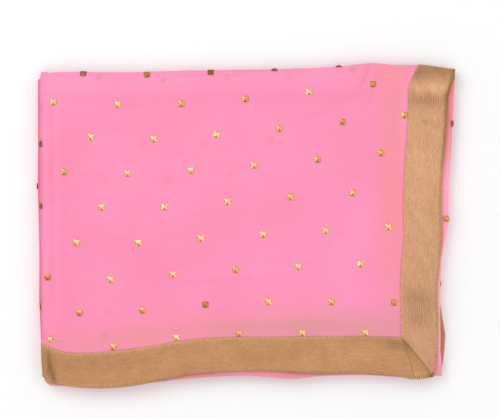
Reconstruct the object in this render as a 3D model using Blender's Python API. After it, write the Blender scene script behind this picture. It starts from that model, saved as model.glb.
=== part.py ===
# A dupatta stole folded into a flat stack and laid down: sheer cloth with pyramid studs and a
# ribbon border along its end and its long side. +X points to the end of the cloth, +Y to the
# fold at the back and +Z up. Sizes and tables are in millimetres, the finished meshes in metres.

import math
from collections import namedtuple

import bmesh
import bpy
from mathutils import Vector

MM = 0.001

# Moves the tables' plan so that the stack's box is centred on the origin
CENTRE_X = 0.65

# Cloth, ribbon and studs
CLOTH_WALL = 1.0
RIBBON_WALL = 1.0
SEAM_GAP = 0.3
STUD_SIDE = 6.0
STUD_HEIGHT = 1.2
STUD_MARGIN = 0.6
STUD_CELL_MARGIN = 1.2

# Height of the stack's top face, and how far it dips at its free edges
HEIGHT_LEFT = 18.0
HEIGHT_RIGHT = 16.6
EDGE_DIP = 1.1
EDGE_DIP_WIDTH = 13.0
WAVE_HEIGHT = 0.35
WAVE_RUN_X = 23.0
WAVE_RUN_Y = 31.0
WAVE_START_X = 0.6
WAVE_START_Y = 1.1

# The two folds that the top panel rolls over: how far the roll reaches in, and how far it falls
BACK_ROLL = 31.0
BACK_DROP = 6.5
LEFT_ROLL = 14.0
LEFT_DROP = 4.5
ROLL_POWER = 2.2

# Grid of the top panel: distances in from each fold, shares of the ribbon's width, and counts
LEFT_LINES = (0.0, 0.7, 2.6, 4.3, LEFT_ROLL)
BACK_LINES = (BACK_ROLL, 20.0, 11.0, 4.5, 1.0, 0.0)
MITRE_SHARE = 0.42
RIBBON_SHARES = (0.0, MITRE_SHARE, 0.72, 1.0)
PANEL_COLUMNS = 33
PANEL_ROWS = 21
FOLD_LINES = 2  # grid lines between a fold's nose and the hidden stack
CROSSING_STEPS = 6  # rounds of settling where a column and a row cross

# Mitred corner: the gap at its two creases as a share of the ribbon's width
MITRE_GAP = 0.012
RIBBON_WIDTH = 36.0

# Underside of the two folds: distance in from the nose and distance down
NOSE_PROFILE = ((0.5, 1.2), (1.9, 2.0))

# Hidden layers
BODY_GAP = 0.45
BODY_EDGE_INSET = 1.0
UNDER_NOSE = 2.35
UNDER_RIBBON_NOSE = 3.7
UNDER_EDGE = 2.1
CORNER_BLEND = 34.0
CORNER_PULL = 2.2
LAYER_WAVE = 0.7
LAYER_WAVE_RUN = 17.0  # the first layer's, and what each layer below adds to it
LAYER_WAVE_MORE = 3.0
LAYER_WAVE_SHIFT = 2.3
SOLE_INSET = 1.6

# Lower end's ribbon on the floor at the right
FLOOR_RIBBON_THICK = 1.9
FLOOR_RIBBON_WIDTH = 11.0
FLOOR_RIBBON_ROUND = 0.5
FLOOR_RIBBON_EDGE = 0.3  # share of the thickness where the rounded edge starts
FLOOR_RIBBON_STATIONS = 30

FrontRow = namedtuple("FrontRow", "x outer inner fold")
FRONT_EDGE = (  # outer and inner edge of the side ribbon, and the fold that shows below it
    FrontRow(-206, -150.0, -118.0, -152.0),
    FrontRow(-197, -156.0, -121.5, -159.2),
    FrontRow(-189, -158.5, -124.5, -159.8),
    FrontRow(-180, -160.4, -126.6, -159.3),
    FrontRow(-163, -162.2, -127.5, -160.0),
    FrontRow(-137, -162.5, -125.5, -160.8),
    FrontRow(-109, -159.5, -122.5, -158.0),
    FrontRow(-85, -154.5, -118.5, -155.4),
    FrontRow(-61, -150.0, -114.5, -152.8),
    FrontRow(-37, -147.5, -112.5, -150.8),
    FrontRow(-7, -145.5, -111.5, -149.4),
    FrontRow(22, -145.6, -111.4, -150.9),
    FrontRow(45, -147.4, -111.0, -152.6),
    FrontRow(73, -148.5, -110.6, -150.0),
    FrontRow(113, -147.8, -110.5, -148.8),
    FrontRow(147, -150.5, -111.3, -150.6),
    FrontRow(167, -153.5, -111.5, -152.0),
    FrontRow(187, -151.5, -111.5, -150.6),
    FrontRow(200, -150.0, -111.5, -150.6),
)

RightRow = namedtuple("RightRow", "y inner outer fold")
RIGHT_EDGE = (  # inner and outer edge of the end ribbon, and the fold that shows beyond it
    RightRow(-152.5, 154.0, 185.8, 195.6),
    RightRow(-136.5, 154.0, 189.0, 194.9),
    RightRow(-124.5, 154.0, 190.3, 193.8),
    RightRow(-111.5, 154.0, 191.0, 194.0),
    RightRow(-94.5, 154.0, 191.4, 194.6),
    RightRow(-64.5, 153.0, 190.2, 193.0),
    RightRow(-38.5, 154.0, 192.5, 195.0),
    RightRow(-14.5, 156.5, 195.0, 198.0),
    RightRow(17.5, 156.0, 194.2, 201.5),
    RightRow(49.5, 157.0, 195.0, 202.3),
    RightRow(81.5, 159.0, 198.0, 205.0),
    RightRow(105.5, 161.0, 200.0, 206.3),
    RightRow(128.5, 161.0, 201.0, 207.2),
    RightRow(137.5, 162.0, 203.4, 208.0),
    RightRow(145.5, 164.5, 206.4, 208.4),
    RightRow(153.5, 168.0, 208.2, 208.6),
    RightRow(163.0, 172.6, 210.2, 209.2),
)

BackRow = namedtuple("BackRow", "x edge")
BACK_EDGE = (  # the back fold seen from above
    BackRow(-207, 154.6),
    BackRow(-200, 152.9),
    BackRow(-188, 153.7),
    BackRow(-120, 153.6),
    BackRow(-90, 154.5),
    BackRow(-40, 155.5),
    BackRow(60, 157.5),
    BackRow(90, 159.5),
    BackRow(125, 162.8),
    BackRow(146, 161.2),
    BackRow(172, 160.9),
    BackRow(190, 158.7),
    BackRow(209, 156.2),
)

LeftRow = namedtuple("LeftRow", "y nose under")
LEFT_EDGE = (  # the left fold of the top panel, and the fold beneath it that stands out
    LeftRow(-156.0, -203.8, -203.9),
    LeftRow(-130.0, -205.2, -205.7),
    LeftRow(-104.0, -205.8, -207.3),
    LeftRow(-44.0, -206.4, -208.6),
    LeftRow(28.0, -207.2, -209.4),
    LeftRow(100.0, -207.6, -210.0),
    LeftRow(146.0, -207.2, -209.8),
    LeftRow(157.0, -206.0, -207.0),
)

FloorRow = namedtuple("FloorRow", "y outer")
FLOOR_RIBBON = (  # outer edge of the lower end's ribbon
    FloorRow(-150.5, 195.2),
    FloorRow(-136.5, 197.2),
    FloorRow(-124.5, 198.6),
    FloorRow(-104.5, 199.6),
    FloorRow(-89.5, 199.6),
    FloorRow(-82.5, 198.0),
    FloorRow(-75.0, 193.6),
    FloorRow(-50.0, 190.5),
    FloorRow(0.0, 194.0),
    FloorRow(60.0, 197.0),
    FloorRow(116.0, 200.0),
)

StudRow = namedtuple("StudRow", "count first_x last_x first_y second_y middle_y last_y")
STUD_ROWS = (
    StudRow(6, -193.0, 126.0, 123.2, 120.5, 123.6, 141.0),
    StudRow(6, -155.8, 158.0, 87.8, 86.2, 93.6, 110.5),
    StudRow(6, -182.4, 133.6, 53.4, 51.8, 57.2, 72.3),
    StudRow(5, -145.1, 106.3, 18.1, 18.5, 23.6, 32.8),
    StudRow(6, -170.5, 141.0, -17.2, -17.4, -10.9, -1.4),
    StudRow(6, -198.9, 113.6, -51.7, -53.9, -46.1, -38.4),
    StudRow(6, -167.1, 147.2, -87.2, -84.7, -77.0, -77.0),
    StudRow(6, -196.6, 118.0, -113.8, -121.5, -111.5, -108.5),
)

CreaseRow = namedtuple("CreaseRow", "x1 y1 x2 y2 half_width height")
CREASES = (  # the largest soft folds of the top panel
    CreaseRow(-204, 121, 150, 129, 8.0, 0.5),
    CreaseRow(-199, -118, -191, -160, 6.0, -1.3),
    CreaseRow(124, 162, 119, 130, 8.0, 1.1),
    CreaseRow(158, 134, 204, 136, 8.0, 0.6),
    CreaseRow(-188, 110, -184, -100, 7.0, 0.45),
)

Level = namedtuple("Level", "top reach groove")
# Layers of the hidden stack from the top down. Each row gives the layer's top as a share of the
# side's height, its reach beyond the top panel's edge, and the depth of the groove beneath it.
# A reach of None follows the fold drawn in the side's own table.
LEFT_LEVELS = (
    Level(1.00, None, 0.3),
    Level(0.76, None, 2.6),
    Level(0.50, 0.4, 0.4),
    Level(0.26, 0.0, 0.6),
    Level(0.07, -1.4, 0.4),
)
BACK_LEVELS = (
    Level(1.00, -1.0, 1.2),
    Level(0.70, -2.8, 0.3),
    Level(0.56, -1.3, 1.4),
    Level(0.28, -3.0, 0.3),
    Level(0.14, -2.2, 0.6),
)
RIGHT_LEVELS = (
    Level(1.00, -2.0, 0.6),
    Level(0.94, None, 0.3),
    Level(0.75, None, 2.2),
    Level(0.56, -1.2, 0.6),
    Level(0.19, -15.0, 0.3),
)
FRONT_LEVELS = (
    Level(1.00, None, 0.7),
    Level(0.84, -2.4, 1.0),
    Level(0.63, -1.0, 1.6),
    Level(0.42, -3.0, 1.0),
    Level(0.21, -1.8, 0.8),
)
BULGE_SHARE = 0.24

Station = namedtuple("Station", "share y")


def smooth_value(rows, along, column, at):
    """Value of a table's column at a place between its rows, on a smooth curve."""
    places = [getattr(row, along) for row in rows]
    values = [getattr(row, column) for row in rows]
    at = min(max(at, places[0]), places[-1])
    k = 0
    while k < len(places) - 2 and at > places[k + 1]:
        k += 1
    slopes = []
    for m in (k, k + 1):
        low, high = max(m - 1, 0), min(m + 1, len(places) - 1)
        slopes.append((values[high] - values[low]) / (places[high] - places[low]))
    step = places[k + 1] - places[k]
    t = (at - places[k]) / step
    return (
        (2 * t**3 - 3 * t**2 + 1) * values[k]
        + (t**3 - 2 * t**2 + t) * step * slopes[0]
        + (3 * t**2 - 2 * t**3) * values[k + 1]
        + (t**3 - t**2) * step * slopes[1]
    )


def smooth_step(t):
    t = min(max(t, 0.0), 1.0)
    return t * t * (3 - 2 * t)


def roll(share):
    """Height share of a rolled fold, 0 at its nose and 1 where the cloth lies flat."""
    share = min(max(share, 0.0), 1.0)
    return (1 - (1 - share) ** ROLL_POWER) ** (1 / ROLL_POWER)


def crease_height(row, x, y):
    """Height that one soft fold adds at a point, fading out past its ends."""
    run = Vector((row.x2 - row.x1, row.y2 - row.y1))
    to_point = Vector((x - row.x1, y - row.y1))
    along = to_point.dot(run) / run.length
    across = abs(to_point.x * run.y - to_point.y * run.x) / run.length
    past = max(-along, along - run.length, 0.0)
    side = smooth_step(1 - across / row.half_width)
    return row.height * side * smooth_step(1 - past / (2 * row.half_width))


def top_height(x, y):
    """Height of the top panel's outer face."""
    from_left = x - smooth_value(LEFT_EDGE, "y", "nose", y)
    from_back = smooth_value(BACK_EDGE, "x", "edge", x) - y
    from_right = smooth_value(RIGHT_EDGE, "y", "outer", y) - x
    from_front = y - smooth_value(FRONT_EDGE, "x", "outer", x)
    across = smooth_step(from_left / (from_left + max(from_right, 0.001)))
    height = HEIGHT_LEFT + (HEIGHT_RIGHT - HEIGHT_LEFT) * across
    height += WAVE_HEIGHT * math.sin(x / WAVE_RUN_X + WAVE_START_X) * math.sin(y / WAVE_RUN_Y + WAVE_START_Y)
    height += sum(crease_height(row, x, y) for row in CREASES)
    height -= LEFT_DROP * (1 - roll(from_left / LEFT_ROLL))
    height -= BACK_DROP * (1 - roll(from_back / BACK_ROLL))
    for inward in (from_right, from_front):
        height -= EDGE_DIP * smooth_step(1 - inward / EDGE_DIP_WIDTH)
    return height


def stud_places():
    """Centre of each stud in plan, kept clear of the ribbons' inner edges."""
    half = STUD_SIDE / 2
    clear = half + STUD_MARGIN
    places = []
    for row in STUD_ROWS:
        second = 1 / (row.count - 1)
        stations = (
            Station(0.0, row.first_y),
            Station(second, row.second_y),
            Station(0.5, row.middle_y),
            Station(1.0, row.last_y),
        )
        for k in range(row.count):
            share = k / (row.count - 1)
            x = row.first_x + (row.last_x - row.first_x) * share
            y = smooth_value(stations, "share", "y", share)
            for side in (x - half, x + half):
                y = max(y, smooth_value(FRONT_EDGE, "x", "inner", side) + clear)
            for side in (y - half, y + half):
                x = min(x, smooth_value(RIGHT_EDGE, "y", "inner", side) - clear)
            places.append((x, y))
    return places


def column_x(i, y):
    """Where the panel's grid column i crosses the height y of the plan."""
    nose = smooth_value(LEFT_EDGE, "y", "nose", y)
    inner = smooth_value(RIGHT_EDGE, "y", "inner", y)
    outer = smooth_value(RIGHT_EDGE, "y", "outer", y)
    last_left = len(LEFT_LINES) - 1
    if i <= last_left:
        return nose + LEFT_LINES[i]
    if i <= last_left + PANEL_COLUMNS:
        start = nose + LEFT_LINES[-1]
        return start + (inner - start) * (i - last_left) / PANEL_COLUMNS
    return inner + (outer - inner) * RIBBON_SHARES[i - last_left - PANEL_COLUMNS]


def row_y(j, x):
    """Where the panel's grid row j crosses the place x of the plan."""
    outer = smooth_value(FRONT_EDGE, "x", "outer", x)
    inner = smooth_value(FRONT_EDGE, "x", "inner", x)
    back = smooth_value(BACK_EDGE, "x", "edge", x)
    last_front = len(RIBBON_SHARES) - 1
    if j <= last_front:
        return inner + (outer - inner) * RIBBON_SHARES[last_front - j]
    if j <= last_front + PANEL_ROWS:
        end = back - BACK_LINES[0]
        return inner + (end - inner) * (j - last_front) / PANEL_ROWS
    return back - BACK_LINES[j - last_front - PANEL_ROWS]


COLUMNS = len(LEFT_LINES) - 1 + PANEL_COLUMNS + len(RIBBON_SHARES) - 1
ROWS = len(RIBBON_SHARES) - 1 + PANEL_ROWS + len(BACK_LINES) - 1
END_COLUMN = COLUMNS - (len(RIBBON_SHARES) - 1)
SIDE_ROW = len(RIBBON_SHARES) - 1
CORNER_NODES = [(0, j) for j in range(ROWS)] + [(i, ROWS) for i in range(COLUMNS + 1)]


class Sheet:
    """Named points of a cloth's outer face, with their normals, and the faces between them."""

    def __init__(self):
        self.points = {}
        self.normals = {}
        self.faces = []

    def find_normals(self):
        self.normals = {key: Vector() for key in self.points}
        for face in self.faces:
            a, b, c = (self.points[key] for key in face[:3])
            normal = (b - a).cross(c - b).normalized()
            for key in face:
                self.normals[key] += normal
        for normal in self.normals.values():
            normal.normalize()

    def at(self, key, distance):
        return self.points[key] + self.normals[key] * distance


def plan_nodes():
    """Plan position of each grid node, where a column and a row of the panel cross."""
    nodes = {}
    for i in range(COLUMNS + 1):
        for j in range(ROWS + 1):
            x, y = column_x(i, 0.0), row_y(j, 0.0)
            for _ in range(CROSSING_STEPS):
                x, y = column_x(i, y), row_y(j, x)
            nodes[i, j] = Vector((x, y))
    return nodes


def seat_studs(nodes, studs):
    """Slide the nodes of one cell round each stud, and return which cell holds which stud."""
    held = {}
    for stud in studs:
        best = None
        for i in range(FOLD_LINES + 1, END_COLUMN):
            for j in range(SIDE_ROW, ROWS - FOLD_LINES - 1):
                corners = [nodes[i + a, j + b] for a, b in ((0, 0), (1, 0), (1, 1), (0, 1))]
                low_x = max(corners[0].x, corners[3].x)
                high_x = min(corners[1].x, corners[2].x)
                low_y = max(corners[0].y, corners[1].y)
                high_y = min(corners[2].y, corners[3].y)
                reach = STUD_SIDE / 2 + STUD_MARGIN / 2
                miss = max(low_x - (stud[0] - reach), 0.0) + max(stud[0] + reach - high_x, 0.0)
                miss += max(low_y - (stud[1] - reach), 0.0) + max(stud[1] + reach - high_y, 0.0)
                if (i, j) not in held and (best is None or miss < best[0]):
                    best = (miss, i, j)
        _, i, j = best
        reach = STUD_SIDE / 2 + STUD_CELL_MARGIN
        for a, b in ((0, 0), (1, 0), (1, 1), (0, 1)):
            node = nodes[i + a, j + b]
            side_x, side_y = 2 * a - 1, 2 * b - 1
            if i + a < END_COLUMN and (stud[0] + side_x * reach - node.x) * side_x > 0:
                node.x = stud[0] + side_x * reach
            if j + b > SIDE_ROW and (stud[1] + side_y * reach - node.y) * side_y > 0:
                node.y = stud[1] + side_y * reach
        held[i, j] = stud
    return held


def panel_sheet(nodes):
    """Outer face of the top panel: the grid, and the undersides of its left and back folds."""
    sheet = Sheet()
    for key, node in nodes.items():
        sheet.points[key] = Vector((node.x, node.y, top_height(node.x, node.y)))
    for i in range(COLUMNS):
        for j in range(ROWS):
            sheet.faces.append(((i, j), (i + 1, j), (i + 1, j + 1), (i, j + 1)))
    for i, j in CORNER_NODES:
        inward = Vector((1.0 if i == 0 else 0.0, -1.0 if j == ROWS else 0.0, 0.0))
        for k, (inset, down) in enumerate(NOSE_PROFILE, 1):
            below = sheet.points[i, j] + inward * inset - Vector((0, 0, down))
            sheet.points[i, j, k] = below
    for first, second in zip(CORNER_NODES, CORNER_NODES[1:]):
        upper = (first, second)
        for k in range(1, len(NOSE_PROFILE) + 1):
            lower = tuple((*key[:2], k) for key in upper)
            sheet.faces.append((upper[0], upper[1], lower[1], lower[0]))
            upper = lower
    sheet.find_normals()
    return sheet


def placed(x, y, z):
    """A point of the tables' plan, in metres about the centre of the stack."""
    return Vector((x + CENTRE_X, y, z)) * MM


def make_object(name, mesh_points, faces, material):
    """One closed mesh object from points in millimetres."""
    mesh = bpy.data.meshes.new(name)
    mesh.from_pydata([placed(*point) for point in mesh_points], [], faces)
    mesh.materials.append(material)
    made = bpy.data.objects.new(name, mesh)
    bpy.context.collection.objects.link(made)
    return made


def wall_from(sheet, faces, low, high, name, material):
    """Closed wall over some faces of a sheet, between two distances from the sheet."""
    keys = sorted({key for face in faces for key in face}, key=str)
    top = {key: k for k, key in enumerate(keys)}
    bottom = {key: k + len(keys) for k, key in enumerate(keys)}
    points = [sheet.at(key, high) for key in keys] + [sheet.at(key, low) for key in keys]
    sides = {}
    solid = []
    numbers = {}
    for face in faces:
        numbers[face] = len(solid)
        for corners in ((face[0], face[1], face[2]), (face[0], face[2], face[-1]))[: len(face) - 2]:
            solid.append([top[key] for key in corners])
            solid.append([bottom[key] for key in reversed(corners)])
        for first, second in zip(face, face[1:] + face[:1]):
            sides[first, second] = True
    for first, second in sides:
        if (second, first) not in sides:
            solid.append([top[second], top[first], bottom[first], bottom[second]])
    return make_object(name, points, solid, material), numbers


def raise_studs(panel, face_numbers, held):
    """Raise a four-sided pyramid in the outer face of each cell that holds a stud."""
    work = bmesh.new()
    work.from_mesh(panel.data)
    work.faces.ensure_lookup_table()
    halves = {
        cell: (work.faces[number], work.faces[number + 2])
        for cell, number in face_numbers.items()
    }
    for cell, (x, y) in held.items():
        first, second = halves[cell]
        rim = [*first.verts, second.verts[2]]
        base = []
        for side_x, side_y in ((-1, -1), (1, -1), (1, 1), (-1, 1)):
            corner_x, corner_y = x + side_x * STUD_SIDE / 2, y + side_y * STUD_SIDE / 2
            place = placed(corner_x, corner_y, top_height(corner_x, corner_y))
            base.append(work.verts.new(place))
        tip = work.verts.new(placed(x, y, top_height(x, y) + STUD_HEIGHT))
        work.faces.remove(first)
        work.faces.remove(second)
        for k in range(4):
            after = (k + 1) % 4
            work.faces.new((rim[k], rim[after], base[after], base[k]))
            work.faces.new((base[k], base[after], tip))
    work.to_mesh(panel.data)
    work.free()


def grid_cell(i, j):
    return ((i, j), (i + 1, j), (i + 1, j + 1), (i, j + 1))


def nose_cells(keys):
    """Faces of the fold's underside between neighbouring nodes of the folded edge."""
    cells = []
    for first, second in zip(CORNER_NODES, CORNER_NODES[1:]):
        if first in keys and second in keys:
            upper = (first, second)
            for k in range(1, len(NOSE_PROFILE) + 1):
                lower = tuple((*key[:2], k) for key in upper)
                cells.append((upper[0], upper[1], lower[1], lower[0]))
                upper = lower
    return cells


def add_mitre_point(sheet, name, across, forward):
    """A point of the mitred corner, by its shares across the end ribbon and towards the front."""
    i = 0
    while i < 2 and across > RIBBON_SHARES[i + 1]:
        i += 1
    j = 0
    while j < 2 and forward > RIBBON_SHARES[j + 1]:
        j += 1
    u = (across - RIBBON_SHARES[i]) / (RIBBON_SHARES[i + 1] - RIBBON_SHARES[i])
    v = (forward - RIBBON_SHARES[j]) / (RIBBON_SHARES[j + 1] - RIBBON_SHARES[j])
    corner_keys = [(END_COLUMN + i + a, SIDE_ROW - j - b) for a in (0, 1) for b in (0, 1)]
    weights = ((1 - u) * (1 - v), (1 - u) * v, u * (1 - v), u * v)
    for store in (sheet.points, sheet.normals):
        store[name] = sum((store[key] * w for key, w in zip(corner_keys, weights)), Vector())
    sheet.normals[name].normalize()


def make_end_border(sheet, material):
    """Ribbon along the cloth's end, from the mitre to under the back fold."""
    cells = []
    for i in range(END_COLUMN, COLUMNS):
        across = i - END_COLUMN
        for j in range(SIDE_ROW, ROWS):
            cells.append(grid_cell(i, j))
        for j in range(SIDE_ROW - across, SIDE_ROW):
            cells.append(grid_cell(i, j))
        j = SIDE_ROW - across
        cells.append(((i, j), (i + 1, j - 1), (i + 1, j)))
    cells += nose_cells({(i, ROWS) for i in range(END_COLUMN, COLUMNS + 1)})
    wall_from(sheet, cells, SEAM_GAP, SEAM_GAP + RIBBON_WALL, "end_border", material)


def make_side_border(sheet, material):
    """Ribbon along the cloth's side, from under the left fold to the mitre's first crease."""
    middle, outer = SIDE_ROW - 1, SIDE_ROW - 2
    add_mitre_point(sheet, "side_0", 0.0, 0.0)
    sheet.points["side_0"] += Vector((-MITRE_GAP, -MITRE_GAP, 0)) * RIBBON_WIDTH
    for k, share in enumerate(RIBBON_SHARES[1:], 1):
        add_mitre_point(sheet, f"side_{k}", MITRE_SHARE * share - MITRE_GAP, share)
    last = END_COLUMN - 1
    cells = [grid_cell(i, j) for i in range(last) for j in range(SIDE_ROW)]
    cells += [grid_cell(last, j) for j in range(middle)]
    corner = (END_COLUMN, middle)
    cells.append(((last, middle), corner, "side_0", (last, SIDE_ROW)))
    cells.append((corner, "side_1", "side_0"))
    cells.append(((END_COLUMN, outer), "side_2", "side_1", corner))
    cells.append(((END_COLUMN, 0), "side_3", "side_2", (END_COLUMN, outer)))
    cells += nose_cells({(0, j) for j in range(SIDE_ROW + 1)})
    wall_from(sheet, cells, SEAM_GAP, SEAM_GAP + RIBBON_WALL, "side_border", material)


def make_corner_tuck(sheet, material):
    """Three-cornered pleat between the two ribbons."""
    slant = MITRE_GAP * 1.5
    tip = slant / (1 - MITRE_SHARE)
    add_mitre_point(sheet, "tuck_tip", MITRE_SHARE * tip, tip)
    for k, share in enumerate(RIBBON_SHARES[1:], 1):
        add_mitre_point(sheet, f"tuck_left_{k}", MITRE_SHARE * share, share)
        add_mitre_point(sheet, f"tuck_right_{k}", share - slant, share)
    add_mitre_point(sheet, "tuck_middle", RIBBON_SHARES[1] - slant, RIBBON_SHARES[2])
    add_mitre_point(sheet, "tuck_front", RIBBON_SHARES[2] - slant, 1.0)
    cells = [
        ("tuck_left_1", "tuck_right_1", "tuck_tip"),
        ("tuck_left_2", "tuck_middle", "tuck_right_1", "tuck_left_1"),
        ("tuck_left_3", "tuck_middle", "tuck_left_2"),
        ("tuck_middle", "tuck_right_2", "tuck_right_1"),
        ("tuck_left_3", "tuck_front", "tuck_right_2", "tuck_middle"),
        ("tuck_front", "tuck_right_3", "tuck_right_2"),
    ]
    wall_from(sheet, cells, SEAM_GAP, SEAM_GAP + RIBBON_WALL, "corner_tuck", material)


def make_top_panel(sheet, held, material):
    made, numbers = wall_from(sheet, sheet.faces, -CLOTH_WALL, 0.0, "top_panel", material)
    raise_studs(made, {cell: numbers[grid_cell(*cell)] for cell in held}, held)


def side_weights(x, y):
    """How much each side of the stack shapes the layers below a point of its edge."""
    to_left = x - smooth_value(LEFT_EDGE, "y", "nose", y)
    to_right = smooth_value(RIGHT_EDGE, "y", "outer", y) - x
    to_back = smooth_value(BACK_EDGE, "x", "edge", x) - y
    to_front = y - smooth_value(FRONT_EDGE, "x", "outer", x)
    weights = [smooth_step(1 - d / CORNER_BLEND) for d in (to_left, to_back, to_right, to_front)]
    return dict(zip(("left", "back", "right", "front"), weights))


def layer_reach(side, level, number, x, y):
    """Distance that one hidden layer stands out past the top panel's edge on one side."""
    if level.reach is not None:
        place = y if side in ("left", "right") else x
        run = LAYER_WAVE_RUN + LAYER_WAVE_MORE * number
        return level.reach + LAYER_WAVE * math.sin(place / run + LAYER_WAVE_SHIFT * number)
    if side == "left":
        return smooth_value(LEFT_EDGE, "y", "nose", y) - smooth_value(LEFT_EDGE, "y", "under", y)
    if side == "right":
        return smooth_value(RIGHT_EDGE, "y", "fold", y) - smooth_value(RIGHT_EDGE, "y", "outer", y)
    return smooth_value(FRONT_EDGE, "x", "outer", x) - smooth_value(FRONT_EDGE, "x", "fold", x)


def body_rings(sheet, ring_keys, top_points):
    """Rings of points down the layered side of the hidden stack, one column for each key."""
    tables = {
        "left": LEFT_LEVELS,
        "back": BACK_LEVELS,
        "right": RIGHT_LEVELS,
        "front": FRONT_LEVELS,
    }
    columns = []
    for key, top_point in zip(ring_keys, top_points):
        i, j = key
        left_fold, back_fold = i <= FOLD_LINES + 1, j >= ROWS - FOLD_LINES
        edge = sheet.points[0 if i <= FOLD_LINES else i, ROWS if back_fold else j]
        weights = side_weights(edge.x, edge.y)
        ribboned = (left_fold and j <= SIDE_ROW) or (back_fold and i >= END_COLUMN)
        fold_drop = UNDER_RIBBON_NOSE if ribboned else UNDER_NOSE
        drop = fold_drop if left_fold or back_fold else UNDER_EDGE
        nose = sheet.points[0, j] if i == FOLD_LINES + 1 and not back_fold else edge
        under = nose.z - drop
        total = sum(weights.values())
        pull = CORNER_PULL * max(0.0, min(1.0, total - 1)) ** 3

        def place(number, share, groove=0.0):
            """A point at a share of one layer's own height."""
            shift = Vector()
            height = 0.0
            for side, rows in tables.items():
                weight = weights[side]
                if weight == 0:
                    continue
                level = rows[number]
                below = rows[number + 1].top if number + 1 < len(rows) else 0.0
                height += weight / total * (level.top + (below - level.top) * share)
                reach = layer_reach(side, level, number, edge.x, edge.y)
                if groove and number + 1 < len(rows):
                    after = layer_reach(side, rows[number + 1], number + 1, edge.x, edge.y)
                    reach = min(reach, after)
                reach -= groove * level.groove + pull
                direction = {"left": (-1, 0), "right": (1, 0), "back": (0, 1), "front": (0, -1)}
                shift += Vector((*direction[side], 0)) * reach * weight
            return Vector((edge.x + shift.x, edge.y + shift.y, under * height))

        column = [top_point, Vector((top_point.x, top_point.y, under))]
        for number in range(len(LEFT_LEVELS)):
            column.append(place(number, BULGE_SHARE))
            column.append(place(number, 1 - BULGE_SHARE))
            if number + 1 < len(LEFT_LEVELS):
                column.append(place(number, 1.0, groove=1.0))
        sole = place(len(LEFT_LEVELS) - 1, 1.0, groove=1.0)
        inward = Vector((-edge.x, -edge.y, 0)).normalized() * SOLE_INSET
        column.append(Vector((sole.x + inward.x, sole.y + inward.y, 0.0)))
        columns.append(column)
    return columns


def make_folded_layers(sheet, material):
    """The hidden folds of the stack as one rounded solid, layered at its edges."""
    kept_columns = [FOLD_LINES, FOLD_LINES + 1, FOLD_LINES + 2]
    kept_columns += list(range(FOLD_LINES + 4, END_COLUMN, 2))
    kept_columns += list(range(END_COLUMN, COLUMNS + 1))
    crease_row = SIDE_ROW + PANEL_ROWS
    kept_rows = list(range(SIDE_ROW + 1)) + list(range(SIDE_ROW + 2, crease_row, 2))
    kept_rows += list(range(crease_row, ROWS - FOLD_LINES + 1))
    depth = -(CLOTH_WALL + BODY_GAP)
    points = {}
    for i in kept_columns:
        for j in kept_rows:
            point = sheet.at((i, j), depth)
            if i == COLUMNS:
                point.x -= BODY_EDGE_INSET
            if j == 0:
                point.y += BODY_EDGE_INSET
            points[i, j] = point
    ring_keys = [(i, kept_rows[0]) for i in kept_columns]
    ring_keys += [(kept_columns[-1], j) for j in kept_rows[1:]]
    ring_keys += [(i, kept_rows[-1]) for i in reversed(kept_columns[:-1])]
    ring_keys += [(kept_columns[0], j) for j in reversed(kept_rows[1:-1])]
    columns = body_rings(sheet, ring_keys, [points[key] for key in ring_keys])

    numbers = {}
    mesh_points = []
    for key, point in points.items():
        numbers[key] = len(mesh_points)
        mesh_points.append(point)
    faces = []
    for first_i, next_i in zip(kept_columns, kept_columns[1:]):
        for first_j, next_j in zip(kept_rows, kept_rows[1:]):
            corners = ((first_i, first_j), (next_i, first_j), (next_i, next_j), (first_i, next_j))
            faces.append([numbers[key] for key in corners])
    rings = []
    for key, column in zip(ring_keys, columns):
        ring = [numbers[key]]
        for point in column[1:]:
            ring.append(len(mesh_points))
            mesh_points.append(point)
        rings.append(ring)
    for here, after in zip(rings, rings[1:] + rings[:1]):
        for k in range(len(here) - 1):
            faces.append([here[k], here[k + 1], after[k + 1], after[k]])
    faces.append([ring[-1] for ring in reversed(rings)])
    make_object("folded_layers", mesh_points, faces, material)


def make_lower_end_border(material):
    """Edge of the lower end's ribbon, flat on the floor under the right side's folds."""
    thick, wide = FLOOR_RIBBON_THICK, FLOOR_RIBBON_WIDTH
    section = (
        (-wide, 0.0),
        (-FLOOR_RIBBON_ROUND, 0.0),
        (0.0, FLOOR_RIBBON_EDGE * thick),
        (0.0, (1 - FLOOR_RIBBON_EDGE) * thick),
        (-FLOOR_RIBBON_ROUND, thick),
        (-wide, thick),
    )
    first, last = FLOOR_RIBBON[0].y, FLOOR_RIBBON[-1].y
    stations = FLOOR_RIBBON_STATIONS
    points = []
    for k in range(stations + 1):
        y = first + (last - first) * k / stations
        outer = smooth_value(FLOOR_RIBBON, "y", "outer", y)
        points += [Vector((outer + inward, y, z)) for inward, z in section]
    count = len(section)
    faces = [list(range(count))]
    for k in range(stations):
        for m in range(count):
            after = (m + 1) % count
            here, there = k * count, (k + 1) * count
            faces.append([here + after, here + m, there + m, there + after])
    faces.append([stations * count + m for m in reversed(range(count))])
    make_object("lower_end_border", points, faces, material)


def cloth_material(name, colour, roughness, metallic=0.0):
    material = bpy.data.materials.new(name)
    material.use_nodes = True
    shader = material.node_tree.nodes["Principled BSDF"]
    shader.inputs["Base Color"].default_value = (*colour, 1.0)
    shader.inputs["Roughness"].default_value = roughness
    shader.inputs["Metallic"].default_value = metallic
    return material


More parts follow.
